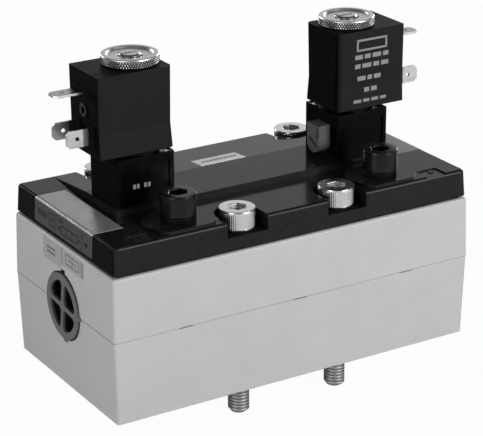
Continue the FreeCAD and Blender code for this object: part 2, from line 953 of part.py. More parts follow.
def make_cover_screws():
    """Two cap screws and their spring washers, which hold the cover while the valve is off its sub-base."""
    pieces = []
    for x, y in cover_screw_places():
        pieces.append(
            socket_screw(
                x,
                y,
                cover_screw_seat,
                cover_screw_diameter,
                cover_screw_length,
                cover_screw_head_diameter,
                cover_screw_head_height,
                socket_width,
                socket_depth,
            )
        )
        washer = upright(spring_washer_diameter / 2, x, y, pad_top, cover_screw_seat)
        hole = upright(cover_screw_diameter / 2 + fit_clearance, x, y, pad_top, cover_screw_seat)
        split = box(
            x,
            x + spring_washer_diameter,
            y - spring_washer_gap / 2,
            y + spring_washer_gap / 2,
            pad_top,
            cover_screw_seat,
        )
        pieces.append(washer.cut([hole, split]))
    return Part.makeCompound(pieces)


def pilot_screw_places():
    """Centres of the two screws under the right coil."""
    offset = pilot_screw_offset
    return [(pilot_distance + turn * offset, -turn * offset) for turn in (-1, 1)]


def make_pilot_body():
    """The square pilot base with its chamber, nozzle, passages and lever bore."""
    half = pilot_width / 2
    low = pilot_inner_face
    high = pilot_outer_face
    bottom = plateau_top - overshoot
    top = pilot_top + overshoot
    outline = rounded_outline(low, high, -half, half, pilot_edge_radius, pilot_edge_radius, plateau_top)
    body = Part.Face(outline).extrude(FreeCAD.Vector(0, 0, pilot_height))
    tools = []
    for side in (-1, 1):
        y_low, y_high = sorted((side * (half - panel_depth), side * (half + overshoot)))
        tools.append(
            box(
                low + panel_side_margin,
                high - panel_side_margin,
                y_low,
                y_high,
                bottom,
                pilot_top - panel_top_margin,
            )
        )
    tools.append(
        box(
            pilot_distance - pilot_gasket_length / 2,
            pilot_distance + pilot_gasket_length / 2,
            -pilot_gasket_width / 2,
            pilot_gasket_width / 2,
            bottom,
            plateau_top + pilot_gasket_thickness,
        )
    )
    passage = plateau_top + pilot_passage_height
    radius = pilot_passage_diameter / 2
    supply = pilot_distance - pilot_supply_offset
    output = pilot_distance + pilot_output_offset
    tools.append(upright(radius, supply, 0, bottom, passage))
    tools.append(upright(radius, output, 0, bottom, chamber_bottom + overshoot))
    tools.append(level(radius, supply, pilot_distance, 0, passage))
    tools.append(upright(nozzle_bore / 2, pilot_distance, 0, passage, nozzle_top + overshoot))
    boss_bottom = pilot_top - tube_boss_length
    chamber = upright(chamber_diameter / 2, pilot_distance, 0, chamber_bottom, boss_bottom + overshoot)
    nozzle = upright(nozzle_diameter / 2, pilot_distance, 0, chamber_bottom - overshoot, nozzle_top)
    tools.append(chamber.cut(nozzle))
    boss_radius = tube_boss_diameter / 2 + thread_clearance
    tools.append(upright(boss_radius, pilot_distance, 0, boss_bottom, top))
    lever_radius = override_shaft_diameter / 2 + running_clearance
    lever_end = low + override_shaft_length + fit_clearance
    tools.append(level(lever_radius, low - overshoot, lever_end, -override_side, override_axis_height))
    shank = pilot_screw_diameter / 2 + fit_clearance
    head = pilot_screw_head_diameter / 2 + fit_clearance
    seat = plateau_top + pilot_screw_grip
    for x, y in pilot_screw_places():
        tools.append(upright(shank, x, y, bottom, top))
        tools.append(upright(head, x, y, seat, top))
    return body.cut(tools)


def make_pilot_gasket():
    """The small flat seal under the pilot base, open at its two ports."""
    sheet = box(
        pilot_distance - pilot_gasket_length / 2 + fit_clearance,
        pilot_distance + pilot_gasket_length / 2 - fit_clearance,
        -pilot_gasket_width / 2 + fit_clearance,
        pilot_gasket_width / 2 - fit_clearance,
        plateau_top,
        plateau_top + pilot_gasket_thickness,
    )
    radius = pilot_passage_diameter / 2
    holes = []
    for x in (pilot_distance - pilot_supply_offset, pilot_distance + pilot_output_offset):
        holes.append(upright(radius, x, 0, plateau_top - overshoot, plateau_top + 2 * overshoot))
    return sheet.cut(holes)


def make_pilot_screws():
    """Two small cap screws, hidden under the coil, that hold the pilot base."""
    seat = plateau_top + pilot_screw_grip
    screws = []
    for x, y in pilot_screw_places():
        screws.append(
            socket_screw(
                x,
                y,
                seat,
                pilot_screw_diameter,
                pilot_screw_grip + pilot_screw_depth - fit_clearance,
                pilot_screw_head_diameter,
                pilot_screw_head_height,
                pilot_screw_socket_width,
                pilot_screw_socket_depth,
            )
        )
    return Part.makeCompound(screws)


def make_armature_tube():
    """The steel tube that guides the plunger, with its flange, boss, fixed core and stud."""
    flange = tube_flange_diameter / 2
    boss = tube_boss_diameter / 2
    tube = tube_diameter / 2
    bore = tube_bore / 2
    stud = stud_diameter / 2
    stud_top = coil_top + nut_gap + nut_height
    profile = [
        (bore, pilot_top - tube_boss_length),
        (boss, pilot_top - tube_boss_length),
        (boss, pilot_top),
        (flange, pilot_top),
        (flange, coil_bottom),
        (tube, coil_bottom),
        (tube, coil_top),
        (stud, coil_top),
        (stud, stud_top - stud_chamfer),
        (stud - stud_chamfer, stud_top),
        (0, stud_top),
        (0, core_face),
        (bore, core_face),
    ]
    shape = turned_upright(profile, pilot_distance, 0)
    half_slot = stud_slot_width / 2
    slot = box(
        pilot_distance - stud_diameter,
        pilot_distance + stud_diameter,
        -half_slot,
        half_slot,
        stud_top - stud_slot_depth,
        stud_top + overshoot,
    )
    return shape.cut(slot)


def make_plunger():
    """The moving core, with a skirt round the nozzle and a pocket for its spring."""
    skirt = plunger_skirt_diameter / 2
    skirt_bore = plunger_skirt_bore / 2
    skirt_bottom = plunger_bottom - plunger_skirt_drop
    skirt_top = skirt_bottom + plunger_skirt_thickness
    seat = plunger_seal_diameter / 2
    seat_top = plunger_bottom + plunger_seal_thickness
    pocket = spring_pocket_diameter / 2
    pocket_floor = plunger_top - spring_pocket_depth
    profile = [
        (skirt_bore, skirt_bottom),
        (skirt, skirt_bottom),
        (skirt, skirt_top),
        (plunger_radius, skirt_top),
        (plunger_radius, plunger_top),
        (pocket, plunger_top),
        (pocket, pocket_floor),
        (0, pocket_floor),
        (0, seat_top),
        (seat, seat_top),
        (seat, plunger_bottom),
        (skirt_bore, plunger_bottom),
    ]
    return turned_upright(profile, pilot_distance, 0)


def make_plunger_seal():
    """The rubber disc in the plunger that closes the nozzle."""
    radius = plunger_seal_diameter / 2
    return upright(radius, pilot_distance, 0, plunger_bottom, plunger_bottom + plunger_seal_thickness)


def make_plunger_spring():
    """The coil spring between the plunger's pocket and the fixed core."""
    low = plunger_top - spring_pocket_depth + spring_wire / 2
    high = core_face - spring_wire / 2
    radius = spring_diameter / 2
    pitch = (high - low) / spring_turns
    helix = Part.makeHelix(pitch, high - low, radius)
    corners = []
    for index in range(spring_wire_sides):
        angle = 2 * math.pi * index / spring_wire_sides
        x = radius + spring_wire / 2 * math.cos(angle)
        corners.append(FreeCAD.Vector(x, 0, spring_wire / 2 * math.sin(angle)))
    profile = Part.makePolygon(corners + corners[:1])
    spring = Part.Wire(helix.Edges).makePipeShell([profile], True, True)
    spring.translate(FreeCAD.Vector(pilot_distance, 0, low))
    return spring


def blade(length, root):
    """A flat terminal along X with chamfered tip and a hole, lying level at the origin."""
    half = terminal_width / 2
    cut = terminal_tip_chamfer
    tip = root + length
    outline = [
        (root - terminal_embedded, -half),
        (tip - cut, -half),
        (tip, -half + cut),
        (tip, half - cut),
        (tip - cut, half),
        (root - terminal_embedded, half),
    ]
    points = [FreeCAD.Vector(x, y, -terminal_thickness / 2) for x, y in outline]
    face = Part.Face(Part.makePolygon(points + points[:1]))
    flat = face.extrude(FreeCAD.Vector(0, 0, terminal_thickness))
    radius = terminal_hole_diameter / 2
    hole = upright(radius, tip - terminal_hole_distance, 0, -terminal_thickness, terminal_thickness)
    return flat.cut(hole)


def make_power_blade(side):
    """One of the two upright terminals of the right coil."""
    shape = blade(power_terminal_length, coil_outer_face)
    shape.rotate(ORIGIN, X_AXIS, 90)
    shape.translate(
        FreeCAD.Vector(0, side * power_terminal_spacing / 2, coil_bottom + power_terminal_height)
    )
    return shape


def make_ground_blade():
    """The level earth terminal near the top of the right coil."""
    shape = blade(ground_terminal_length, coil_outer_face)
    shape.translate(FreeCAD.Vector(0, 0, coil_bottom + ground_terminal_height))
    return shape


def make_terminal_insert():
    """The threaded bush between the terminals that takes the connector's screw."""
    face = coil_outer_face + insert_proud
    height = coil_bottom + insert_height
    bush = level(insert_diameter / 2, face - insert_length, face, 0, height)
    thread = insert_thread_diameter / 2
    return bush.cut(level(thread, face - insert_thread_depth, face + overshoot, 0, height))


def make_coil():
    """The moulded coil block, with a slight waist and foot, and seats for its terminals."""
    low = pilot_distance - coil_inner_reach
    half = coil_width / 2
    outlines = []
    waist_height = coil_bottom + coil_waist_height
    for flare, height in ((coil_flare, coil_bottom), (-coil_waist, waist_height), (0, coil_top)):
        outlines.append(
            rounded_outline(
                low - flare,
                coil_outer_face,
                -half - flare,
                half + flare,
                coil_back_radius,
                coil_front_radius,
                height,
            )
        )
    coil = Part.makeLoft(outlines, True, True)
    half_width = terminal_width / 2 + terminal_pad_margin
    half_thick = terminal_thickness / 2 + terminal_pad_margin
    face = coil_outer_face
    for side in (-1, 1):
        middle_y = side * power_terminal_spacing / 2
        middle_z = coil_bottom + power_terminal_height
        coil = coil.fuse(
            box(
                face - overshoot,
                face + terminal_pad_height,
                middle_y - half_thick,
                middle_y + half_thick,
                middle_z - half_width,
                middle_z + half_width,
            )
        )
    middle_z = coil_bottom + ground_terminal_height
    coil = coil.fuse(
        box(
            face - overshoot,
            face + terminal_pad_height,
            -half_width,
            half_width,
            middle_z - half_thick,
            middle_z + half_thick,
        )
    )
    bore = tube_diameter / 2 + coil_bore_clearance
    insert_face = face + insert_proud
    tools = [
        upright(bore, pilot_distance, 0, coil_bottom - overshoot, coil_top + overshoot),
        level(
            insert_diameter / 2,
            insert_face - insert_length,
            insert_face + overshoot,
            0,
            coil_bottom + insert_height,
        ),
        make_power_blade(-1),
        make_power_blade(1),
        make_ground_blade(),
    ]
    return coil.cut(tools)


def make_coil_nut():
    """The knurled nut with a raised rim and a collar round the stud."""
    outer = nut_diameter / 2
    bottom = coil_top + nut_gap
    top = bottom + nut_height
    face = top - nut_face_drop
    stud = stud_diameter / 2 + thread_clearance
    collar = stud + nut_collar_width
    recess = washer_diameter / 2 + fit_clearance
    recess_top = coil_top + washer_thickness
    chamfer = nut_edge_chamfer
    profile = [
        (recess, bottom),
        (outer - chamfer, bottom),
        (outer, bottom + chamfer),
        (outer, top - chamfer),
        (outer - chamfer, top),
        (outer - nut_rim_width, top),
        (outer - nut_rim_width - chamfer, face),
        (collar, face),
        (collar, top - chamfer),
        (stud, top - chamfer),
        (stud, recess_top),
        (recess, recess_top),
    ]
    return turned_upright(profile, pilot_distance, 0)


def make_nut_washer():
    """The rubber washer between the nut and the coil."""
    radius = washer_diameter / 2
    bore = stud_diameter / 2 + fit_clearance
    washer = upright(radius, pilot_distance, 0, coil_top, coil_top + washer_thickness)
    return washer.cut(upright(bore, pilot_distance, 0, coil_top, coil_top + washer_thickness))


def make_override_knob():
    """The lever that works the right pilot by hand, with its shaft and half-round cam."""
    face = pilot_inner_face - override_face_gap
    front = face - override_protrusion
    y = -override_side
    z = override_axis_height
    half = override_width / 2
    knob = level(half, front, face, y, z)
    knob = knob.fuse(box(front, face, y - half, y + half, z, z + override_top))
    knob = knob.removeSplitter()
    sunk = front + overshoot
    points = [
        FreeCAD.Vector(sunk, y + override_mark_near, z + override_top),
        FreeCAD.Vector(sunk, y - override_mark_far, z + override_top),
        FreeCAD.Vector(sunk, y - override_mark_foot, z + override_mark_rise),
    ]
    wedge = Part.Face(Part.makePolygon(points + points[:1])).extrude(
        FreeCAD.Vector(-overshoot - override_mark_height, 0, 0)
    )
    knob = knob.fuse(wedge)
    half_slot = override_slot_width / 2
    slot = box(
        front - override_mark_height - overshoot,
        front + override_slot_depth,
        y - override_slot_length / 2,
        y + override_slot_length / 2,
        z - half_slot,
        z + half_slot,
    )
    slot.rotate(FreeCAD.Vector(0, y, z), X_AXIS, override_slot_turn)
    knob = knob.cut(slot)
    shaft_end = pilot_inner_face + override_shaft_length
    radius = override_shaft_diameter / 2
    groove_low = pilot_inner_face + override_seal_width
    profile = [
        (0, face - overshoot),
        (radius, face - overshoot),
        (radius, groove_low),
        (radius - override_seal_depth, groove_low),
        (radius - override_seal_depth, groove_low + override_seal_width),
        (radius, groove_low + override_seal_width),
        (radius, shaft_end),
        (0, shaft_end),
    ]
    shaft = turned_level(profile, y, z)
    flat = box(
        shaft_end - override_cam_length,
        shaft_end + overshoot,
        y - override_shaft_diameter,
        y + override_shaft_diameter,
        z,
        z + override_shaft_diameter,
    )
    return knob.fuse(shaft.cut(flat)).removeSplitter()


def make_override_seal():
    """The rubber ring on the lever's shaft."""
    radius = override_shaft_diameter / 2
    middle = pilot_inner_face + override_seal_width * 3 / 2
    inner = radius - override_seal_depth + seal_clearance
    width = override_seal_width - 2 * seal_clearance
    outer = radius + seal_clearance
    return sealing_ring(inner, outer, middle, width, -override_side, override_axis_height)


def single_pieces():
    """The pieces that the valve has once."""
    pieces = {
        "valve_body": make_valve_body(),
        "interface_gasket": make_interface_gasket(),
        "cover_gasket": make_cover_gasket(),
        "cover": make_cover(),
        "spool": make_spool(),
        "mounting_screws": make_mounting_screws(),
        "cover_screws": make_cover_screws(),
    }
    for number in range(port_count):
        pieces["port_cage_%d" % (number + 1)] = make_port_cage(number)
    for number in range(port_count + 1):
        pieces["bore_seal_%d" % (number + 1)] = make_bore_seal(number)
    for name, side in (("left", -1), ("right", 1)):
        pieces["piston_" + name] = make_piston(side)
        pieces["piston_seal_" + name] = make_piston_seal(side)
    return pieces


def paired_pieces():
    """The pieces of the right end, which the left end has as well."""
    return {
        "retaining_ring": make_retaining_ring(),
        "end_plug": make_end_plug(),
        "plug_seal": make_plug_seal(),
        "pilot_body": make_pilot_body(),
        "pilot_gasket": make_pilot_gasket(),
        "pilot_screws": make_pilot_screws(),
        "armature_tube": make_armature_tube(),
        "plunger": make_plunger(),
        "plunger_seal": make_plunger_seal(),
        "plunger_spring": make_plunger_spring(),
        "coil": make_coil(),
        "power_blade_1": make_power_blade(-1),
        "power_blade_2": make_power_blade(1),
        "ground_blade": make_ground_blade(),
        "terminal_insert": make_terminal_insert(),
        "coil_nut": make_coil_nut(),
        "nut_washer": make_nut_washer(),
        "override_knob": make_override_knob(),
        "override_seal": make_override_seal(),
    }


def main():
    """Build every piece and write one file for each."""
    os.makedirs("parts", exist_ok=True)
    pieces = single_pieces()
    for name, shape in paired_pieces().items():
        pieces[name + "_right"] = shape
        pieces[name + "_left"] = half_turn(shape)
    for name, shape in pieces.items():
        shape.exportStep("parts/%s.step" % name)
        print("%-24s solids %d  valid %s  volume %.1f" % (
            name, len(shape.Solids), shape.isValid(), shape.Volume))
    print("%d pieces" % len(pieces))


main()
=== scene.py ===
"""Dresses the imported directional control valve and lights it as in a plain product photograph."""

import json
import logging
import math
from collections.abc import Iterable, Sequence
from dataclasses import dataclass, field
from enum import Enum

import bmesh
import bpy
from mathutils import Euler, Matrix, Vector


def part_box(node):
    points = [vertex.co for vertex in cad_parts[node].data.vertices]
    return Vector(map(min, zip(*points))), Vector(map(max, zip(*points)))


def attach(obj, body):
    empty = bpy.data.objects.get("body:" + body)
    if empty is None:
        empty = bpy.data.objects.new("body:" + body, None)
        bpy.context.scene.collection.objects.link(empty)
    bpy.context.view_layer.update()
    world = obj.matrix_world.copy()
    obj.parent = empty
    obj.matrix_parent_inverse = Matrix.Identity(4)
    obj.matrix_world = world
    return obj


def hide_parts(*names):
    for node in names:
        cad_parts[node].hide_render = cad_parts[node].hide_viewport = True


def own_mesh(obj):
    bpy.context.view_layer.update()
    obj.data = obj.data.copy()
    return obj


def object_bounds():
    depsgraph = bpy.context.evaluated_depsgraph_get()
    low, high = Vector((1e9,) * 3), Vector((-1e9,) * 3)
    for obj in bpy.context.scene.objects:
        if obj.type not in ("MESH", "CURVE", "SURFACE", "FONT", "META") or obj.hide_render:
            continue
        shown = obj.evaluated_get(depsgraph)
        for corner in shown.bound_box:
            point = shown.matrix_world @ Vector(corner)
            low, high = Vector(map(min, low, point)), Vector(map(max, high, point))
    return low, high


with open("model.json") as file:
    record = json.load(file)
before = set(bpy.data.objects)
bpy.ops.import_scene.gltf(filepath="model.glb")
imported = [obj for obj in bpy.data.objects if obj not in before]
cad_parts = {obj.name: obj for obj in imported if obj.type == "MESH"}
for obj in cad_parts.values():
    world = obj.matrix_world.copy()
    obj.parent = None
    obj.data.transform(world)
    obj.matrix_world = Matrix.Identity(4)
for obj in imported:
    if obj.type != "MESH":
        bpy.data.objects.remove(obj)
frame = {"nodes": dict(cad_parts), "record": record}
CAD_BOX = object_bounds()
MM = 0.001
log = logging.getLogger("valve")

Pair = tuple[float, float]
Point = tuple[float, float, float]
Patch = tuple[float, float, float, float]
Ring = list[Vector]
Mesh, Piece, Material = bpy.types.Mesh, bpy.types.Object, bpy.types.Material
Tree, Node, Socket = bpy.types.NodeTree, bpy.types.Node, bpy.types.NodeSocket
Source = Node | Socket

TONE_SPAN: Pair = (0.36, 0.62)
SHINE_SPAN: Pair = (0.3, 0.7)
SHARP_ANGLE = math.radians(32.0)
STRAIGHT_ANGLE = math.radians(175.0)
CORNER_SHARE = 0.45
# A triangle in a circle of radius 1 is this wide through its middle.
TRIANGLE_WIDTH = 1.1547
WHITE = (1.0, 1.0, 1.0, 1.0)


class Across(Enum):
    """The direction in which the width of a label runs."""

    LENGTHWISE = (1.0, 0.0, 0.0)
    TO_BACK = (0.0, 1.0, 0.0)
    TO_FRONT = (0.0, -1.0, 0.0)


class Along(Enum):
    """What tells where a band of a finish begins and ends."""

    LENGTH = "millimetres from the middle towards either end"
    HEIGHT = "millimetres above the mounting face"
    FACING = "how squarely a face looks towards an end, from 0 to 1"


class Ends(Enum):
    """How a tube of rings ends."""

    POLES = "in single points"
    CAPPED = "in faces"
    JOINED = "at its own start"


class Knurl(Enum):
    """The two patterns that are rolled into round heads and nuts."""

    STRAIGHT = False
    DIAMOND = True


def linear(colour: str) -> tuple[float, ...]:
    """Turns an sRGB colour, six hex digits after a hash sign, into linear values and an alpha of 1."""
    values = (int(colour[start:start + 2], 16) / 255 for start in (1, 3, 5))
    return *(v / 12.92 if v <= 0.04045 else ((v + 0.055) / 1.055) ** 2.4 for v in values), 1.0


def add_node(
    tree: Tree, kind: str, inputs: dict[str | int, object] | None = None, **settings: object
) -> Node:
    """Adds a node with its settings and links.

    Args:
        tree: The tree that takes the node.
        kind: The node's class name.
        inputs: A value, or the socket or node to link, by the name or number of the input.
        settings: Values of the node's own properties.

    Returns:
        The new node.
    """
    node = tree.nodes.new(kind)
    for name, value in settings.items():
        setattr(node, name, value)
    for name, value in (inputs or {}).items():
        if isinstance(value, (Node, Socket)):
            tree.links.new(value.outputs[0] if isinstance(value, Node) else value, node.inputs[name])
        else:
            node.inputs[name].default_value = value
    return node


def overlay(tree: Tree, colour: Source, mask: Source, tone: str) -> Socket:
    """Lays a tone, as sRGB hex, over a colour; the mask says how much of it shows, from 0 to 1."""
    inputs = {0: mask, 6: colour, 7: linear(tone)}
    return add_node(tree, "ShaderNodeMix", inputs, data_type="RGBA").outputs[2]


def near(tree: Tree, value: Source, middle: float, reach: float) -> Node:
    """Gives 1 where a coordinate lies within a reach of a middle, both in millimetres, and 0 elsewhere."""
    inputs = {0: value, 1: middle * MM, 2: reach * MM}
    return add_node(tree, "ShaderNodeMath", inputs, operation="COMPARE")


def ramp(tree: Tree, value: Source, start: float, end: float, unit: float = MM) -> Node:
    """Gives a share that rises from 0 at the start to 1 at the end, both counted in the unit."""
    span = {"From Min": start * unit, "From Max": end * unit}
    return add_node(tree, "ShaderNodeMapRange", {"Value": value, **span})


@dataclass(frozen=True)
class Band:
    """A part of a finish with another tone, used for real marks and for painted shade, and, where one is
    given, a roughness.
    """

    along: Along
    start: float
    end: float
    tone: str
    roughness: float | None = None

    def share(self, tree: Tree, place: Socket) -> Node:
        """Builds what tells how much of the band shows.

        Args:
            tree: The material's tree.
            place: Object coordinates.

        Returns:
            A node that gives 0 before the band's start and 1 past its end.
        """
        facing = self.along is Along.FACING
        source = add_node(tree, "ShaderNodeNewGeometry").outputs["Normal"] if facing else place
        x, _, z = add_node(tree, "ShaderNodeSeparateXYZ", {0: source}).outputs
        if self.along is Along.HEIGHT:
            return ramp(tree, z, self.start, self.end)
        reach = add_node(tree, "ShaderNodeMath", {0: x}, operation="ABSOLUTE")
        return ramp(tree, reach, self.start, self.end, 1.0 if facing else MM)


@dataclass(frozen=True)
class Finish:
    """A procedural surface: a mottled colour with its own roughness and relief, sizes in millimetres."""

    name: str
    light: str
    dark: str
    roughness: float
    spread: float = 0.06
    metallic: float = 0.0
    mottle: float = 4.0
    grain: float = 0.4
    relief: float = 0.01
    edge: float = 0.0
    specular: float = 0.5
    stretch: Point = (1.0, 1.0, 1.0)
    band: Band | None = None

    def build(self) -> Material:
        """Makes the material.

        Returns:
            A node material that reads Object coordinates.
        """
        material = bpy.data.materials.new(self.name)
        material.use_nodes = True
        tree = material.node_tree
        place = add_node(tree, "ShaderNodeTexCoord").outputs["Object"]
        mapping = add_node(tree, "ShaderNodeMapping", {"Scale": self.stretch, "Vector": place})
        noises = [
            {"Vector": mapping, "Scale": 1 / (size * MM), "Detail": detail}
            for size, detail in ((self.mottle, 3.0), (self.grain, 2.0))
        ]
        mottle, grain = (add_node(tree, "ShaderNodeTexNoise", inputs) for inputs in noises)
        half = add_node(tree, "ShaderNodeMath", {0: grain, 1: 0.5}, operation="MULTIPLY")
        blend = add_node(tree, "ShaderNodeMath", {0: mottle, 1: 0.5, 2: half}, operation="MULTIPLY_ADD")
        tones = add_node(tree, "ShaderNodeValToRGB", {"Fac": blend})
        for stop, position, tone in zip(tones.color_ramp.elements, TONE_SPAN, (self.dark, self.light)):
            stop.position, stop.color = position, linear(tone)
        span = (*SHINE_SPAN, self.roughness - self.spread, self.roughness + self.spread)
        sides = dict(zip(("From Min", "From Max", "To Min", "To Max"), span))
        shine = add_node(tree, "ShaderNodeMapRange", {"Value": mottle, **sides}).outputs[0]
        relief = {"Strength": 1.0, "Distance": self.relief * MM, "Height": grain}
        bump = add_node(tree, "ShaderNodeBump", relief)
        if self.edge:
            bevel = add_node(tree, "ShaderNodeBevel", {"Radius": self.edge * MM}, samples=4)
            tree.links.new(bevel.outputs[0], bump.inputs["Normal"])
        colour = self.tint(tree, place, tones.outputs[0])
        if self.band:
            share = self.band.share(tree, place)
            colour = overlay(tree, colour, share, self.band.tone)
            if self.band.roughness:
                dull = {0: share, 2: shine, 3: self.band.roughness}
                shine = add_node(tree, "ShaderNodeMix", dull, data_type="FLOAT").outputs[0]
        shader = tree.nodes["Principled BSDF"]
        shader.inputs["Metallic"].default_value = self.metallic
        shader.inputs["Specular IOR Level"].default_value = self.specular
        for name, socket in (("Base Color", colour), ("Roughness", shine), ("Normal", bump.outputs[0])):
            tree.links.new(socket, shader.inputs[name])
        return material

    def tint(self, tree: Tree, place: Socket, colour: Socket) -> Socket:
        """Returns the plain colour; a finish with marks of its own changes it here."""
        return colour


@dataclass(frozen=True)
class PaintedCasting(Finish):
    """Paint on a die casting: a parting line, clearer on the ends, and three darker stubs of flash."""

    parting_z: float = 31.5
    line_reach: float = 0.16
    line_tone: str = "#A2A3A3"
    end_x: float = 75.0
    end_fade: float = 0.05
    end_reach: float = 0.2
    end_tone: str = "#5E5F5F"
    stubs: tuple[float, ...] = (-47.0, 0.4, 47.0)
    stub_length: float = 5.6
    stub_drop: float = 0.1
    stub_reach: float = 0.26
    stub_tone: str = "#6C6D6D"

    def tint(self, tree: Tree, place: Socket, colour: Socket) -> Socket:
        """Draws the parting line and its stubs.

        Args:
            tree: The material's tree.
            place: Object coordinates.
            colour: The paint's colour.

        Returns:
            The colour with the line.
        """
        x, _, z = add_node(tree, "ShaderNodeSeparateXYZ", {0: place}).outputs
        colour = overlay(tree, colour, near(tree, z, self.parting_z, self.line_reach), self.line_tone)
        reach = add_node(tree, "ShaderNodeMath", {0: x}, operation="ABSOLUTE")
        beyond = ramp(tree, reach, self.end_x - self.end_fade, self.end_x)
        marks = [(beyond, near(tree, z, self.parting_z, self.end_reach), self.end_tone)]
        thick = near(tree, z, self.parting_z - self.stub_drop, self.stub_reach)
        for middle in self.stubs:
            marks.append((near(tree, x, middle, self.stub_length / 2), thick, self.stub_tone))
        for here, line, tone in marks:
            both = add_node(tree, "ShaderNodeMath", {0: here, 1: line}, operation="MULTIPLY")
            colour = overlay(tree, colour, both, tone)
        return colour


@dataclass(frozen=True)
class KnurledPlate(Finish):
    """Plating on the knurled nuts: the valleys of the knurl are darkened, partly as residue and partly as
    painted shade.
    """

    axis_x: float = 45.65
    crest: float = 10.46
    valley: float = 10.2
    knurl_reach: float = 1.0
    rim_z: float = 120.75
    rim_fade: float = 0.1
    residue_and_shade: str = "#3E3F40"

    def tint(self, tree: Tree, place: Socket, colour: Socket) -> Socket:
        """Darkens the valleys with residue and painted shade.

        Args:
            tree: The material's tree.
            place: Object coordinates.
            colour: The plating's colour.

        Returns:
            The colour with dark valleys.
        """
        x, y, z = add_node(tree, "ShaderNodeSeparateXYZ", {0: place}).outputs
        reach = add_node(tree, "ShaderNodeMath", {0: x}, operation="ABSOLUTE")
        across = add_node(tree, "ShaderNodeMath", {0: reach, 1: self.axis_x * MM}, operation="SUBTRACT")
        flat = add_node(tree, "ShaderNodeCombineXYZ", {0: across, 1: y})
        radius = add_node(tree, "ShaderNodeVectorMath", {0: flat}, operation="LENGTH").outputs["Value"]
        dark = ramp(tree, radius, self.crest, self.valley)
        side = near(tree, radius, self.crest, self.knurl_reach)
        for mask in (side, ramp(tree, z, self.rim_z, self.rim_z - self.rim_fade)):
            dark = add_node(tree, "ShaderNodeMath", {0: dark, 1: mask}, operation="MULTIPLY")
        return overlay(tree, colour, dark, self.residue_and_shade)


# Painted shade: faces that look towards an end are coloured near black and made matt.
PAINTED_SHADE_ENDS = Band(Along.FACING, 0.6, 0.9, "#020202", 0.95)

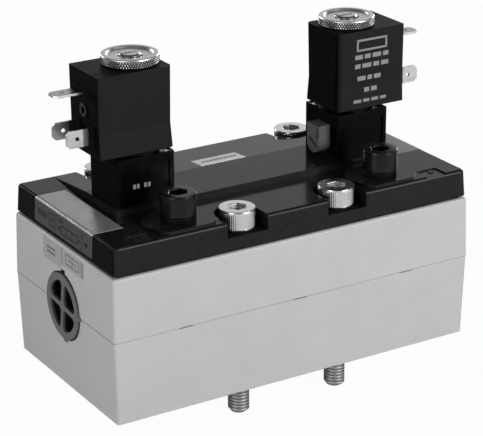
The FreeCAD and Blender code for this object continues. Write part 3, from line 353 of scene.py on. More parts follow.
FINISHES: dict[str, Finish] = {
    # Satin grey stove paint: even and soft, with a slight orange peel in its highlights.
    "body_paint": PaintedCasting(
        "satin_grey_paint_on_casting", "#C1C0C1", "#BCBBBC", 0.42, 0.04, mottle=14.0, grain=1.1,
        relief=0.006, edge=0.35,
    ),
    # Glossy polyamide: nearly black, so that its surroundings show in it as in dark glass; its end faces
    # carry painted shade.
    "cover_gloss": Finish(
        "gloss_black_polyamide", "#222223", "#1C1C1D", 0.14, 0.03, specular=0.15, mottle=7.0, grain=2.4,
        relief=0.002, edge=0.08, band=PAINTED_SHADE_ENDS,
    ),
    # Epoxy from a spark-eroded mould: matt, dark grey, faintly sandy; its end faces carry painted shade.
    "coil_plastic": Finish(
        "matt_black_epoxy_moulding", "#1F1F20", "#191919", 0.45, 0.05, specular=0.08, mottle=6.0,
        grain=0.35, edge=0.35, band=PAINTED_SHADE_ENDS,
    ),
    # Half-gloss glass-filled polyamide: black, a little cloudy; its end faces carry painted shade.
    "pilot_plastic": Finish(
        "half_gloss_black_polyamide", "#060607", "#040405", 0.25, 0.04, specular=0.06, mottle=5.0,
        grain=0.8, relief=0.003, edge=0.3, band=PAINTED_SHADE_ENDS,
    ),
    # Mid-grey acetal lever: smooth, with a dull sheen.
    "lever_plastic": Finish(
        "mid_grey_acetal", "#58595A", "#505152", 0.46, specular=0.3, mottle=3.0, grain=0.5, relief=0.004,
        edge=0.3,
    ),
    # Grey glass-filled plug: fibres near the skin make it streaky, and its pockets are painted near black
    # with depth as shade.
    "plug_plastic": Finish(
        "grey_glass_filled_polyamide", "#6E6F6F", "#626363", 0.55, specular=0.3, mottle=2.2, grain=0.3,
        relief=0.006, edge=0.3, band=Band(Along.LENGTH, 75.7, 74.5, "#050505"),
    ),
    # Black acetal: smooth and dull, deep inside the ports.
    "cage_plastic": Finish("black_acetal_cage", "#2A2A2B", "#222223", 0.4, mottle=3.0, grain=0.5),
    # White acetal: milky, with a soft sheen.
    "piston_plastic": Finish("white_acetal", "#E4E3DD", "#D8D7D0", 0.35, mottle=3.0, grain=0.5),
    # Zinc plate: bright metal with a faint cloud, darker and dull on the threads.
    "zinc_steel": Finish(
        "zinc_plated_steel", "#F0F1F2", "#E6E7E8", 0.25, 0.03, metallic=1.0, mottle=2.4, grain=0.3,
        relief=0.0006, edge=0.15, band=Band(Along.HEIGHT, 1.0, 0.5, "#A2A3A4", 0.55),
    ),
    # Black oxide: oily dark steel that still shines at its edges.
    "black_steel": Finish(
        "black_oxide_steel", "#0C0C0D", "#080809", 0.27, 0.04, metallic=0.15, specular=0.4, grain=0.6,
        relief=0.0004, edge=0.25,
    ),
    # Satin nickel plate: soft and even, its knurl valleys darkened by residue and painted shade.
    "nickel_steel": KnurledPlate(
        "satin_nickel_plated_steel", "#F0F0EE", "#E6E6E4", 0.35, 0.03, metallic=0.9, mottle=3.0, grain=0.3,
        relief=0.0006, edge=0.15,
    ),
    # Turned steel tube: bright at the stud, with its foot in the gap under the coil painted near black as
    # shade.
    "stainless_steel": Finish(
        "turned_stainless_steel", "#D6D6D4", "#C6C6C4", 0.28, 0.04, metallic=1.0, mottle=1.5, grain=0.2,
        relief=0.001, stretch=(1.0, 1.0, 6.0), band=Band(Along.HEIGHT, 88.5, 88.4, "#1A1A1B"),
    ),
    # Washers coloured matt black as painted shade under the heads: oily, lost in the shade of the heads.
    "washer_painted_shade": Finish(
        "spring_washer_painted_shade", "#0A0A0A", "#060606", 0.6, specular=0.1, mottle=2.0, grain=0.3
    ),
    # Blued spring wire: a cool, greyish shine.
    "spring_steel": Finish(
        "blued_spring_steel", "#8E9096", "#6F7177", 0.3, metallic=1.0, mottle=1.2, grain=0.2
    ),
    # Tinned brass strip: pale, with fine rolling lines along the blade and a root painted darker as shade
    # next to the coil.
    "tinned_brass": Finish(
        "tinned_brass_strip", "#D2D2D0", "#BEBEBB", 0.32, 0.04, metallic=1.0, mottle=2.0, grain=0.25,
        relief=0.001, edge=0.12, stretch=(0.25, 1.0, 1.0), band=Band(Along.LENGTH, 68.1, 67.6, "#6E6E6C"),
    ),
    # Tarnished brass bush: dark, with a glint on its rim.
    "brass_insert": Finish(
        "tarnished_brass_bush", "#282725", "#1E1D1B", 0.22, 0.04, metallic=1.0, mottle=1.5, grain=0.25,
        relief=0.001, edge=0.2,
    ),
    # Hard-anodised spool: dull grey metal with turning marks round it.
    "spool_aluminium": Finish(
        "hard_anodised_aluminium", "#A9AAAD", "#97989B", 0.34, metallic=0.85, mottle=3.0, grain=0.2,
        stretch=(6.0, 1.0, 1.0),
    ),
    # Nitrile rubber: dark, dull, faintly dusty.
    "rubber": Finish("nitrile_rubber", "#232323", "#191919", 0.72, specular=0.2, mottle=2.0, grain=0.25),
    # Rubber and fibre sheet: flat black, without a shine.
    "gasket_sheet": Finish(
        "rubber_fibre_sheet", "#161616", "#0E0E0E", 0.8, specular=0.1, mottle=1.5, grain=0.2
    ),
    # Metallised label film: silver grey, half mirror, half haze.
    "label_silver": Finish(
        "silver_label_film", "#C4C5C5", "#BCBDBD", 0.27, 0.04, 0.55, mottle=5.0, grain=0.3, relief=0.001
    ),
    # Bright foil label: pale and half mirror.
    "label_white": Finish("pale_foil_label", "#F0F0F0", "#E8E8E8", 0.3, 0.04, 0.7, grain=0.3, relief=0.001),
    # Dull grey label film at the right end.
    "label_dull": Finish(
        "dull_grey_label_film", "#8C8D8D", "#848585", 0.35, 0.04, 0.3, grain=0.3, relief=0.001
    ),
    # Grey printed field: half gloss over the silver film.
    "label_grey": Finish(
        "grey_printed_film", "#474849", "#414243", 0.35, 0.04, specular=0.2, mottle=3.0, grain=0.3,
        relief=0.001,
    ),
    # Pale pad print: flat and chalky on the matt coil.
    "coil_print": Finish(
        "pale_grey_pad_print", "#8E8F8F", "#868787", 0.6, specular=0.2, mottle=1.5, grain=0.2
    ),
    # Grey ink: even and dull.
    "label_ink": Finish("grey_label_ink", "#565757", "#4E4F4F", 0.5, mottle=1.5, grain=0.2),
    # Dark ink: even, with a slight gloss; it also draws the painted shadow strips at the label recess.
    "label_print": Finish("dark_ink_and_painted_shadow", "#0C0C0D", "#080809", 0.4, specular=0.1, mottle=1.5, grain=0.2),
    # Clear label on the paint: a shade darker than the paint around it.
    "label_tint": Finish("tinted_clear_film", "#A9AAAA", "#A3A4A4", 0.38, 0.04, relief=0.001),
}


@dataclass
class Workshop:
    """What the pieces are made with: the finishes, built on first use, and the geometry trees."""

    trees: dict[str, Tree]
    built: dict[str, Material] = field(default_factory=dict)

    def finish(self, name: str) -> Material:
        """Finds a finish, which is made on first use.

        Args:
            name: Its name in the table of finishes.

        Returns:
            The material.
        """
        if name not in self.built:
            self.built[name] = FINISHES[name].build()
        return self.built[name]

    def dress_nodes(self) -> int:
        """Gives every CAD node the finish of its slot.

        Returns:
            The number of nodes that were dressed.
        """
        for part in frame["record"]["subparts"]:
            node = frame["nodes"][part["node"]]
            node.data.materials.clear()
            node.data.materials.append(self.finish(part["material_slot"]))
        return len(frame["record"]["subparts"])

    def grow(self, piece: Piece, tree: str, lengths: dict[str, float], **others: object) -> None:
        """Adds a geometry tree to a piece and sets its inputs.

        Args:
            piece: The object that takes the modifier; its material is the tree's Finish.
            tree: The tree's name.
            lengths: Inputs in millimetres, by name.
            others: The other inputs, by name.
        """
        modifier = piece.modifiers.new(tree, "NODES")
        modifier.node_group = self.trees[tree]
        values = {name: length * MM for name, length in lengths.items()}
        values |= {**others, "Finish": piece.data.materials[0]}
        for item in modifier.node_group.interface.items_tree:
            if item.in_out == "INPUT" and item.name in values:
                modifier[item.identifier] = values[item.name]


def node_box(name: str) -> tuple[Vector, Vector]:
    """Returns a CAD node's lowest and highest corners in millimetres."""
    low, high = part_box(name)
    return Vector(low) / MM, Vector(high) / MM


def rounded(points: Sequence[Pair], radius: float, steps: int = 4) -> list[Pair]:
    """Rounds the corners of a line in the plane.

    Args:
        points: Corner points; the first and last stay sharp.
        radius: The largest radius; short sides get less.
        steps: Spans of each arc.

    Returns:
        The points of the rounded line.
    """
    result = [points[0]]
    for before, corner, after in zip(points, points[1:], points[2:]):
        here = Vector(corner)
        back, ahead = Vector(before) - here, Vector(after) - here
        turn = back.angle(ahead, math.pi)
        reach = min(back.length, ahead.length) * CORNER_SHARE
        if turn > STRAIGHT_ANGLE or reach <= 0:
            result.append(corner)
            continue
        cut = min(reach, radius / math.tan(turn / 2))
        start, end = here + back.normalized() * cut, here + ahead.normalized() * cut
        for step in range(steps + 1):
            share = step / steps
            result.append(tuple(start.lerp(here, share).lerp(here.lerp(end, share), share)))
    return [*result, points[-1]]


def turned(profile: Iterable[Pair], segments: int, hexagon: bool = False) -> list[Ring]:
    """Turns a profile about the vertical axis.

    Args:
        profile: Radius and height of each ring; a radius of 0 makes a pole.
        segments: The number of points in a ring.
        hexagon: Whether the rings have six flats at their radius.

    Returns:
        The rings.
    """
    rings = []
    for radius, height in profile:
        ring = []
        for index in range(segments if radius else 1):
            angle = math.tau * index / segments
            reach = radius / math.cos(angle % (math.pi / 3) - math.pi / 6) if hexagon else radius
            ring.append(Vector((reach * math.cos(angle), reach * math.sin(angle), height)))
        rings.append(ring)
    return rings


def skin(name: str, tubes: Iterable[Sequence[Ring]], ends: Ends) -> Mesh:
    """Skins tubes of rings.

    Args:
        name: The mesh's name.
        tubes: The rings of each tube, in millimetres.
        ends: How each tube ends.

    Returns:
        A closed mesh whose faces point outwards.
    """
    work = bmesh.new()
    for tube in tubes:
        rings = [[work.verts.new(point * MM) for point in ring] for ring in tube]
        if ends is Ends.JOINED:
            rings.append(rings[0])
        for low, high in zip(rings, rings[1:]):
            for index in range(max(len(low), len(high))):
                corners = ((low, index), (low, index + 1), (high, index + 1), (high, index))
                work.faces.new(list(dict.fromkeys(ring[step % len(ring)] for ring, step in corners)))
        if ends is Ends.CAPPED:
            work.faces.new(rings[0])
            work.faces.new(rings[-1])
    bmesh.ops.recalc_face_normals(work, faces=work.faces)
    mesh = bpy.data.meshes.new(name)
    work.to_mesh(mesh)
    work.free()
    smooth(mesh)
    return mesh


def smooth(mesh: Mesh) -> None:
    """Shades a mesh smooth but for its sharp edges."""
    mesh.shade_smooth()
    mesh.set_sharp_from_angle(angle=SHARP_ANGLE)


def add_object(name: str, mesh: Mesh, material: Material) -> Piece:
    """Links a mesh to the scene at the origin.

    Args:
        name: The object's name.
        mesh: Its mesh, which holds its place.
        material: Its finish.

    Returns:
        The new object.
    """
    mesh.materials.clear()
    mesh.materials.append(material)
    piece = bpy.data.objects.new(name, mesh)
    bpy.context.scene.collection.objects.link(piece)
    return piece


def settle(piece: Piece, place: Point = (0.0, 0.0, 0.0)) -> None:
    """Turns a piece with modifiers into a plain smooth mesh.

    Args:
        piece: The object; its modifiers are removed.
        place: How far its mesh is shifted, in millimetres.
    """
    mesh = bpy.data.meshes.new_from_object(piece.evaluated_get(bpy.context.evaluated_depsgraph_get()))
    mesh.materials.clear()
    mesh.materials.append(piece.data.materials[0])
    mesh.transform(Matrix.Translation(Vector(place) * MM))
    piece.modifiers.clear()
    piece.data = mesh
    smooth(mesh)


def new_tree(name: str, inputs: dict[str, Sequence[str]]) -> tuple[Tree, Node]:
    """Starts a geometry tree with named inputs.

    Args:
        name: The tree's name.
        inputs: Input names by the kind of their sockets; Geometry and Finish are added.

    Returns:
        The tree and its input node.
    """
    tree = bpy.data.node_groups.new(name, "GeometryNodeTree")
    tree.interface.new_socket(name="Geometry", in_out="OUTPUT", socket_type="NodeSocketGeometry")
    for kind, labels in {"Geometry": ["Geometry"], **inputs, "Material": ["Finish"]}.items():
        for label in labels:
            tree.interface.new_socket(name=label, in_out="INPUT", socket_type="NodeSocket" + kind)
    return tree, add_node(tree, "NodeGroupInput")


def end_tree(tree: Tree, source: Node, *parts: Node) -> Tree:
    """Joins the parts of a geometry tree, makes them real and gives them the finish.

    Args:
        tree: The tree.
        source: Its input node.
        parts: The nodes whose geometry is joined.

    Returns:
        The same tree.
    """
    join = add_node(tree, "GeometryNodeJoinGeometry")
    for part in parts:
        tree.links.new(part.outputs[0], join.inputs[0])
    real = add_node(tree, "GeometryNodeRealizeInstances", {0: join})
    finish = {"Geometry": real, "Material": source.outputs["Finish"]}
    add_node(tree, "NodeGroupOutput", {0: add_node(tree, "GeometryNodeSetMaterial", finish)})
    return tree


def knurl_tree() -> Tree:
    """Builds the tree that sets knurl teeth round a turned piece.

    Returns:
        A tree that keeps its input geometry and adds rows of teeth: ribs, or the studs of a diamond.
    """
    lengths = ("Radius", "Row Pitch", "Low", "Across", "Along", "Depth")
    tree, source = new_tree("knurl", {"Int": ("Count", "Rows"), "Float": lengths, "Bool": ("Diamond",)})
    at = dict(source.outputs.items())
    at["index"] = add_node(tree, "GeometryNodeInputIndex")
    for name, operation, *terms in (
        ("share", "DIVIDE", "index", "Count"),
        ("row", "FLOOR", "share"),
        ("odd row", "MODULO", "row", 2.0),
        ("offset", "MULTIPLY", "odd row", 0.5),
        ("column", "ADD", "index", "offset"),
        ("turns", "DIVIDE", "column", "Count"),
        ("angle", "MULTIPLY", "turns", math.tau),
        ("cosine", "COSINE", "angle"),
        ("sine", "SINE", "angle"),
        ("x", "MULTIPLY", "cosine", "Radius"),
        ("y", "MULTIPLY", "sine", "Radius"),
        ("middle", "ADD", "row", 0.5),
        ("z", "MULTIPLY_ADD", "middle", "Row Pitch", "Low"),
        ("total", "MULTIPLY", "Count", "Rows"),
        ("half across", "DIVIDE", "Across", 2.0),
        ("half along", "DIVIDE", "Along", 2.0),
        ("rib width", "DIVIDE", "Across", TRIANGLE_WIDTH),
    ):
        values = {number: at.get(term, term) for number, term in enumerate(terms)}
        at[name] = add_node(tree, "ShaderNodeMath", values, operation=operation)
    for name, terms in {
        "place": ("x", "y", "z"), "stud size": ("half along", "half across", "Depth"),
        "rib size": ("Depth", "rib width", "Along"), "facing": (0.0, 0.0, "angle"),
    }.items():
        values = {number: at.get(term, term) for number, term in enumerate(terms)}
        at[name] = add_node(tree, "ShaderNodeCombineXYZ", values)
    points = add_node(tree, "GeometryNodePoints", {"Count": at["total"], "Position": at["place"]})
    stud = add_node(tree, "GeometryNodeMeshCone", {"Vertices": 4, "Radius Bottom": 1.0, "Depth": 1.0})
    lie = {"Rotation": Euler((0.0, math.pi / 2, 0.0)), "Scale": at["stud size"]}
    laid = add_node(tree, "GeometryNodeTransform", {"Geometry": stud, **lie})
    rib = add_node(tree, "GeometryNodeMeshCylinder", {"Vertices": 3, "Radius": 1.0, "Depth": 1.0})
    stood = add_node(tree, "GeometryNodeTransform", {"Geometry": rib, "Scale": at["rib size"]})
    choice = {"Switch": at["Diamond"], "False": stood, "True": laid}
    tooth = add_node(tree, "GeometryNodeSwitch", choice, input_type="GEOMETRY")
    spots = {"Points": points, "Instance": tooth, "Rotation": at["facing"]}
    return end_tree(tree, source, source, add_node(tree, "GeometryNodeInstanceOnPoints", spots))


def thread_tree() -> Tree:
    """Builds the tree that winds a thread round a turned piece.

    Returns:
        A tree that keeps its input geometry and adds a right-hand helix.
    """
    tree, source = new_tree("thread", {"Float": ("Radius", "Pitch", "Turns", "Low", "Depth")})
    size = source.outputs
    middle = add_node(tree, "ShaderNodeMath", {0: size["Radius"], 1: size["Depth"]}, operation="SUBTRACT")
    height = add_node(tree, "ShaderNodeMath", {0: size["Pitch"], 1: size["Turns"]}, operation="MULTIPLY")
    reach = {"Start Radius": middle, "End Radius": middle, "Height": height}
    helix = add_node(tree, "GeometryNodeCurveSpiral", {"Resolution": 24, "Rotations": size["Turns"], **reach})
    level = add_node(tree, "GeometryNodeSetCurveNormal", {"Curve": helix}, mode="Z_UP")
    wire = {"Resolution": 8, "Radius": size["Depth"]}
    section = add_node(tree, "GeometryNodeCurvePrimitiveCircle", wire, mode="RADIUS")
    sweep = {"Curve": level, "Profile Curve": section, "Fill Caps": True}
    ridge = add_node(tree, "GeometryNodeCurveToMesh", sweep)
    lift = add_node(tree, "ShaderNodeCombineXYZ", {2: size["Low"]})
    placed = add_node(tree, "GeometryNodeTransform", {"Geometry": ridge, "Translation": lift})
    return end_tree(tree, source, source, placed)


def places_tree() -> Tree:
    """Builds the tree that sets a copy of a piece at each vertex of another mesh.

    Returns:
        A tree whose input geometry is the piece.
    """
    tree, source = new_tree("places", {"Object": ("Places",)})
    spots = add_node(tree, "GeometryNodeObjectInfo", {"Object": source.outputs["Places"]}).outputs["Geometry"]
    copies = add_node(tree, "GeometryNodeInstanceOnPoints", {"Points": spots, "Instance": source})
    return end_tree(tree, source, copies)


@dataclass
class SocketScrews:
    """Socket head screws that all have one size: head, hexagon, waist and threaded tip."""

    shop: Workshop
    node: str
    slot: str
    places: Sequence[Pair]
    head_radius: float
    waist_radius: float
    thread_top: float
    head_height: float = 8.0
    shank_radius: float = 4.0
    socket_width: float = 6.0
    socket_depth: float = 4.0
    foot_height: float = 1.0
    foot_bevel: float = 0.55
    rim_radius: float = 0.55
    knurl_count: int = 66
    knurl_depth: float = 0.12
    knurl_margin: float = 0.75
    knurl_step: float = 0.1
    knurl_fill: float = 0.95
    thread_pitch: float = 1.25
    thread_depth: float = 0.56
    tip_taper: float = 1.4
    segments: int = 96

    def core(self, tip: float, thread_top: float) -> Mesh:
        """Turns one smooth screw whose seat is at height 0.

        Args:
            tip: The height of its tip.
            thread_top: The height at which its thread ends.

        Returns:
            The screw's closed mesh.
        """
        head, top, waist = self.head_radius, self.head_height, self.waist_radius
        side = head - self.knurl_depth
        root = self.shank_radius - self.thread_depth
        rim = top - self.knurl_margin
        flat, floor = self.socket_width / 2, top - self.socket_depth
        outline = [
            (0.0, tip), (root - 1.4, tip), (root - 0.5, tip + 0.4), (root, tip + 1.3), (root, thread_top),
            (waist, thread_top + 0.4), (waist, 0.0), (head - self.foot_bevel, 0.0), (head, self.foot_height),
            (side, self.foot_height + 0.12), (side, rim - self.knurl_step), (head, rim), (head, top),
            (self.socket_width * 0.66, top),
        ]
        rings = turned(rounded(outline, self.rim_radius), self.segments)
        rings += turned([(flat + 0.25, top), (flat, top - 0.3), (flat, floor)], self.segments, hexagon=True)
        rings += turned([(0.0, floor - 0.4)], self.segments)
        return skin(self.node + "_core", [rings], Ends.POLES)

    def build(self) -> None:
        """Makes the screws, with knurl and thread, and puts them in place of their node."""
        low, high = node_box(self.node)
        seat = high.z - self.head_height
        tip, thread_top = low.z - seat, self.thread_top - seat
        core = self.core(tip, thread_top)
        screws = add_object(self.node + "_dressed", core, self.shop.finish(self.slot))
        foot = self.foot_height + self.knurl_step
        band = self.head_height - self.knurl_margin - self.knurl_step - foot
        lengths = {
            "Radius": self.head_radius - self.knurl_depth, "Row Pitch": band, "Low": foot, "Along": band,
            "Across": math.tau * self.head_radius / self.knurl_count * self.knurl_fill,
            "Depth": self.knurl_depth,
        }
        self.shop.grow(screws, "knurl", lengths, Count=self.knurl_count, Rows=1, Diamond=Knurl.STRAIGHT.value)
        start = tip + self.tip_taper
        lengths = {
            "Radius": self.shank_radius, "Pitch": self.thread_pitch, "Low": start, "Depth": self.thread_depth
        }
        self.shop.grow(screws, "thread", lengths, Turns=(thread_top - start) / self.thread_pitch)
        spots = bpy.data.objects.new("places", bpy.data.meshes.new("places"))
        spots.data.from_pydata([(x * MM, y * MM, seat * MM) for x, y in self.places], [], [])
        bpy.context.scene.collection.objects.link(spots)
        self.shop.grow(screws, "places", {}, Places=spots)
        settle(screws)
        bpy.data.objects.remove(spots)
        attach(screws, "valve")
        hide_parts(self.node)
        log.info("%s: %d", self.node, len(self.places))


@dataclass
class SpringWashers:
    """Split lock washers, their ends a little apart, under the black cap screws."""

    shop: Workshop
    places: Sequence[Pair]
    bottom: float
    height: float = 2.0
    radius: float = 6.35
    bore: float = 4.1
    corner: float = 0.25
    gap: float = 1.0
    slant: float = 0.5
    segments: int = 64

    def bar(self, centre: Pair) -> list[Ring]:
        """Bends one washer from a bar with rounded corners.

        Args:
            centre: Its place in the plane.

        Returns:
            The bar's sections from end to end.
        """
        middle, top = self.bottom + self.height / 2, self.bottom + self.height
        outline = [
            (self.bore, middle), (self.bore, self.bottom), (self.radius, self.bottom), (self.radius, top),
            (self.bore, top), (self.bore, middle),
        ]
        start = self.gap / 2 / self.radius
        rings = []
        for index in range(self.segments + 1):
            ring = []
            for radius, height in rounded(outline, self.corner, 2)[:-1]:
                lean = self.slant * (height - self.bottom) / self.height / self.radius
                angle = start + index / self.segments * (math.tau - 2 * start) + lean
                x, y = centre[0] + radius * math.cos(angle), centre[1] + radius * math.sin(angle)
                ring.append(Vector((x, y, height)))
            rings.append(ring)
        return rings

    def build(self) -> None:
        """Makes the washers as one object on the valve."""
        mesh = skin("spring_washers", [self.bar(centre) for centre in self.places], Ends.CAPPED)
        # Their finish is painted shade: matt near black under the cap heads.
        washers = add_object("spring_washers", mesh, self.shop.finish("washer_painted_shade"))
        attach(washers, "valve")
        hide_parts("cover_screws")
        log.info("spring washers: %d", len(self.places))


@dataclass
class CoilNut:
    """A knurled nut on top of a coil: raised rim, sunk face and a mouth round the stud."""

    shop: Workshop
    side: str
    knurl_count: int = 66
    knurl_rows: int = 3
    knurl_depth: float = 0.4
    knurl_foot: float = 0.45
    knurl_drop: float = 0.75
    knurl_fill: float = 0.96
    rim_width: float = 2.0
    face_drop: float = 0.8
    edge_radius: float = 0.35
    stud_radius: float = 3.95
    mouth_radius: float = 4.5
    mouth_depth: float = 1.0
    washer_radius: float = 6.5
    washer_height: float = 0.6
    segments: int = 120

    def build(self) -> None:
        """Makes the nut in place of its node."""
        node = "coil_nut_" + self.side
        low, high = node_box(node)
        outer, top = (high.x - low.x) / 2, high.z - low.z
        side, inner = outer - self.knurl_depth, outer - self.rim_width
        face, bore = top - self.face_drop, self.washer_radius
        floor = face - self.mouth_depth
        outline = [
            (bore, 0.3), (bore, 0.0), (outer - 0.55, 0.0), (side, self.knurl_foot),
            (side, top - self.knurl_drop), (outer - 0.1, top - 0.6), (outer - 0.35, top), (inner, top),
            (inner - 0.5, face),
            (self.mouth_radius, face), (self.mouth_radius - 0.15, floor), (self.stud_radius, floor - 0.1),
            (self.stud_radius, self.washer_height), (bore, self.washer_height), (bore, 0.3),
        ]
        rings = turned(rounded(outline, self.edge_radius)[:-1], self.segments)
        mesh = skin(node, [rings], Ends.JOINED)
        nut = add_object(node + "_dressed", mesh, self.shop.finish("nickel_steel"))
        row = (top - self.knurl_drop - self.knurl_foot) / self.knurl_rows
        lengths = {
            "Radius": side, "Row Pitch": row, "Low": self.knurl_foot, "Along": 2 * row * self.knurl_fill,
            "Across": math.tau * outer / self.knurl_count * self.knurl_fill, "Depth": self.knurl_depth,
        }
        rolled = {"Count": self.knurl_count, "Rows": self.knurl_rows, "Diamond": Knurl.DIAMOND.value}
        self.shop.grow(nut, "knurl", lengths, **rolled)
        settle(nut, ((low.x + high.x) / 2, (low.y + high.y) / 2, low.z))
        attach(nut, "valve")
        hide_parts(node)
        log.info("coil nut %s", self.side)


@dataclass
class PlungerSpring:
    """The spring over a plunger, a wound wire."""

    shop: Workshop
    side: str
    wire: float = 0.5
    turns: float = 4.0

    def build(self) -> None:
        """Winds the spring in place of its node."""
        node, joint = "plunger_spring_" + self.side, "plunger_lift_" + self.side
        low, high = node_box(node)
        centre = ((low.x + high.x) / 2, (low.y + high.y) / 2, 0.0)
        spring = add_object(node + "_wound", bpy.data.meshes.new(node), self.shop.finish("spring_steel"))
        lengths = {
            "Radius": (high.x - low.x) / 2, "Pitch": (high.z - low.z - self.wire) / self.turns,
            "Low": low.z + self.wire / 2, "Depth": self.wire / 2,
        }
        self.shop.grow(spring, "thread", lengths, Turns=self.turns)
        settle(spring, centre)
        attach(spring, "valve")
        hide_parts(node)
        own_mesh(spring)
        log.info("plunger spring %s", self.side)


@dataclass
class Label:
    """A film that follows the surface under it, with fields and marks of other finishes.

    The path runs along the surface and the width runs across it, so that across, along and
    the way out of the surface are a right-handed set. Fields are given as start and end
    along the path, then low and high across it. Without a finish, only the fields are made.
    """

    shop: Workshop
    name: str
    path: Sequence[Point]
    across: Across
    fields: dict[str, Sequence[Patch]]
    finish: str | None = None
    width: Pair = (0.0, 0.0)
    thickness: float = 0.0
    ink: float = 0.02

    def steps(self) -> list[Vector]:
        """Returns the path's spans as vectors."""
        return [Vector(end) - Vector(start) for start, end in zip(self.path, self.path[1:])]

    def point(self, along: float, across: float, lift: float) -> Vector:
        """Finds a place on the label.

        Args:
            along: Distance along the path, in millimetres.
            across: Place across it.
            lift: Height above the surface under it.

        Returns:
            The place in millimetres.
        """
        width, steps, near_enough = Vector(self.across.value), self.steps(), 1e-6
        for index, step in enumerate(steps):
            if along <= step.length + near_enough or index == len(steps) - 1:
                break
            along -= step.length
        outward = width.cross(step).normalized()
        if along >= step.length - near_enough and index + 1 < len(steps):
            outward = (outward + width.cross(steps[index + 1]).normalized()).normalized()
        return Vector(self.path[index]) + step.normalized() * along + width * across + outward * lift

    def stations(self, start: float, end: float) -> list[float]:
        """Finds where the path bends between two distances.

        Args:
            start: The first distance.
            end: The last distance.

        Returns:
            Both distances and the bends between them.
        """
        total, places, apart = 0.0, [start], 1e-4
        for step in self.steps():
            total += step.length
            if start + apart < total < end - apart:
                places.append(total)
        return [*places, end]

    def lay(self, name: str, finish: str, fields: Iterable[Patch], floor: float, lift: float) -> None:
        """Lays closed thin slabs that follow the path and ride on the valve.

        Args:
            name: The piece's name.
            finish: Its finish.
            fields: Start and end along the path, low and high across it.
            floor: The height of their undersides.
            lift: The height of their tops.
        """
        slabs = []
        for start, end, low, high in fields:
            corners = ((low, lift), (high, lift), (high, floor), (low, floor))
            places = self.stations(start, end)
            slabs.append([[self.point(place, *corner) for corner in corners] for place in places])
        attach(add_object(name, skin(name, slabs, Ends.CAPPED), self.shop.finish(finish)), "valve")

    def build(self) -> None:
        """Makes the film and its fields."""
        if self.finish:
            length = sum(step.length for step in self.steps())
            self.lay(self.name, self.finish, [(0.0, length, *self.width)], 0.0, self.thickness)
        for layer, (finish, fields) in enumerate(self.fields.items(), 1):
            top = self.thickness + layer * self.ink
            self.lay(f"{self.name}_{finish}", finish, fields, self.thickness - self.ink, top)
        log.info("label %s", self.name)


def hollow(start: float, end: float, low: float, high: float, line: float) -> list[Patch]:
    """Draws a bare frame of four lines.

    Args:
        start: Its start along the path.
        end: Its end along the path.
        low: Its low side across.
        high: Its high side across.
        line: The width of its lines.

    Returns:
        The four fields.
    """
    return [
        (start, start + line, low, high), (end - line, end, low, high),
        (start, end, low, low + line), (start, end, high - line, high),
    ]


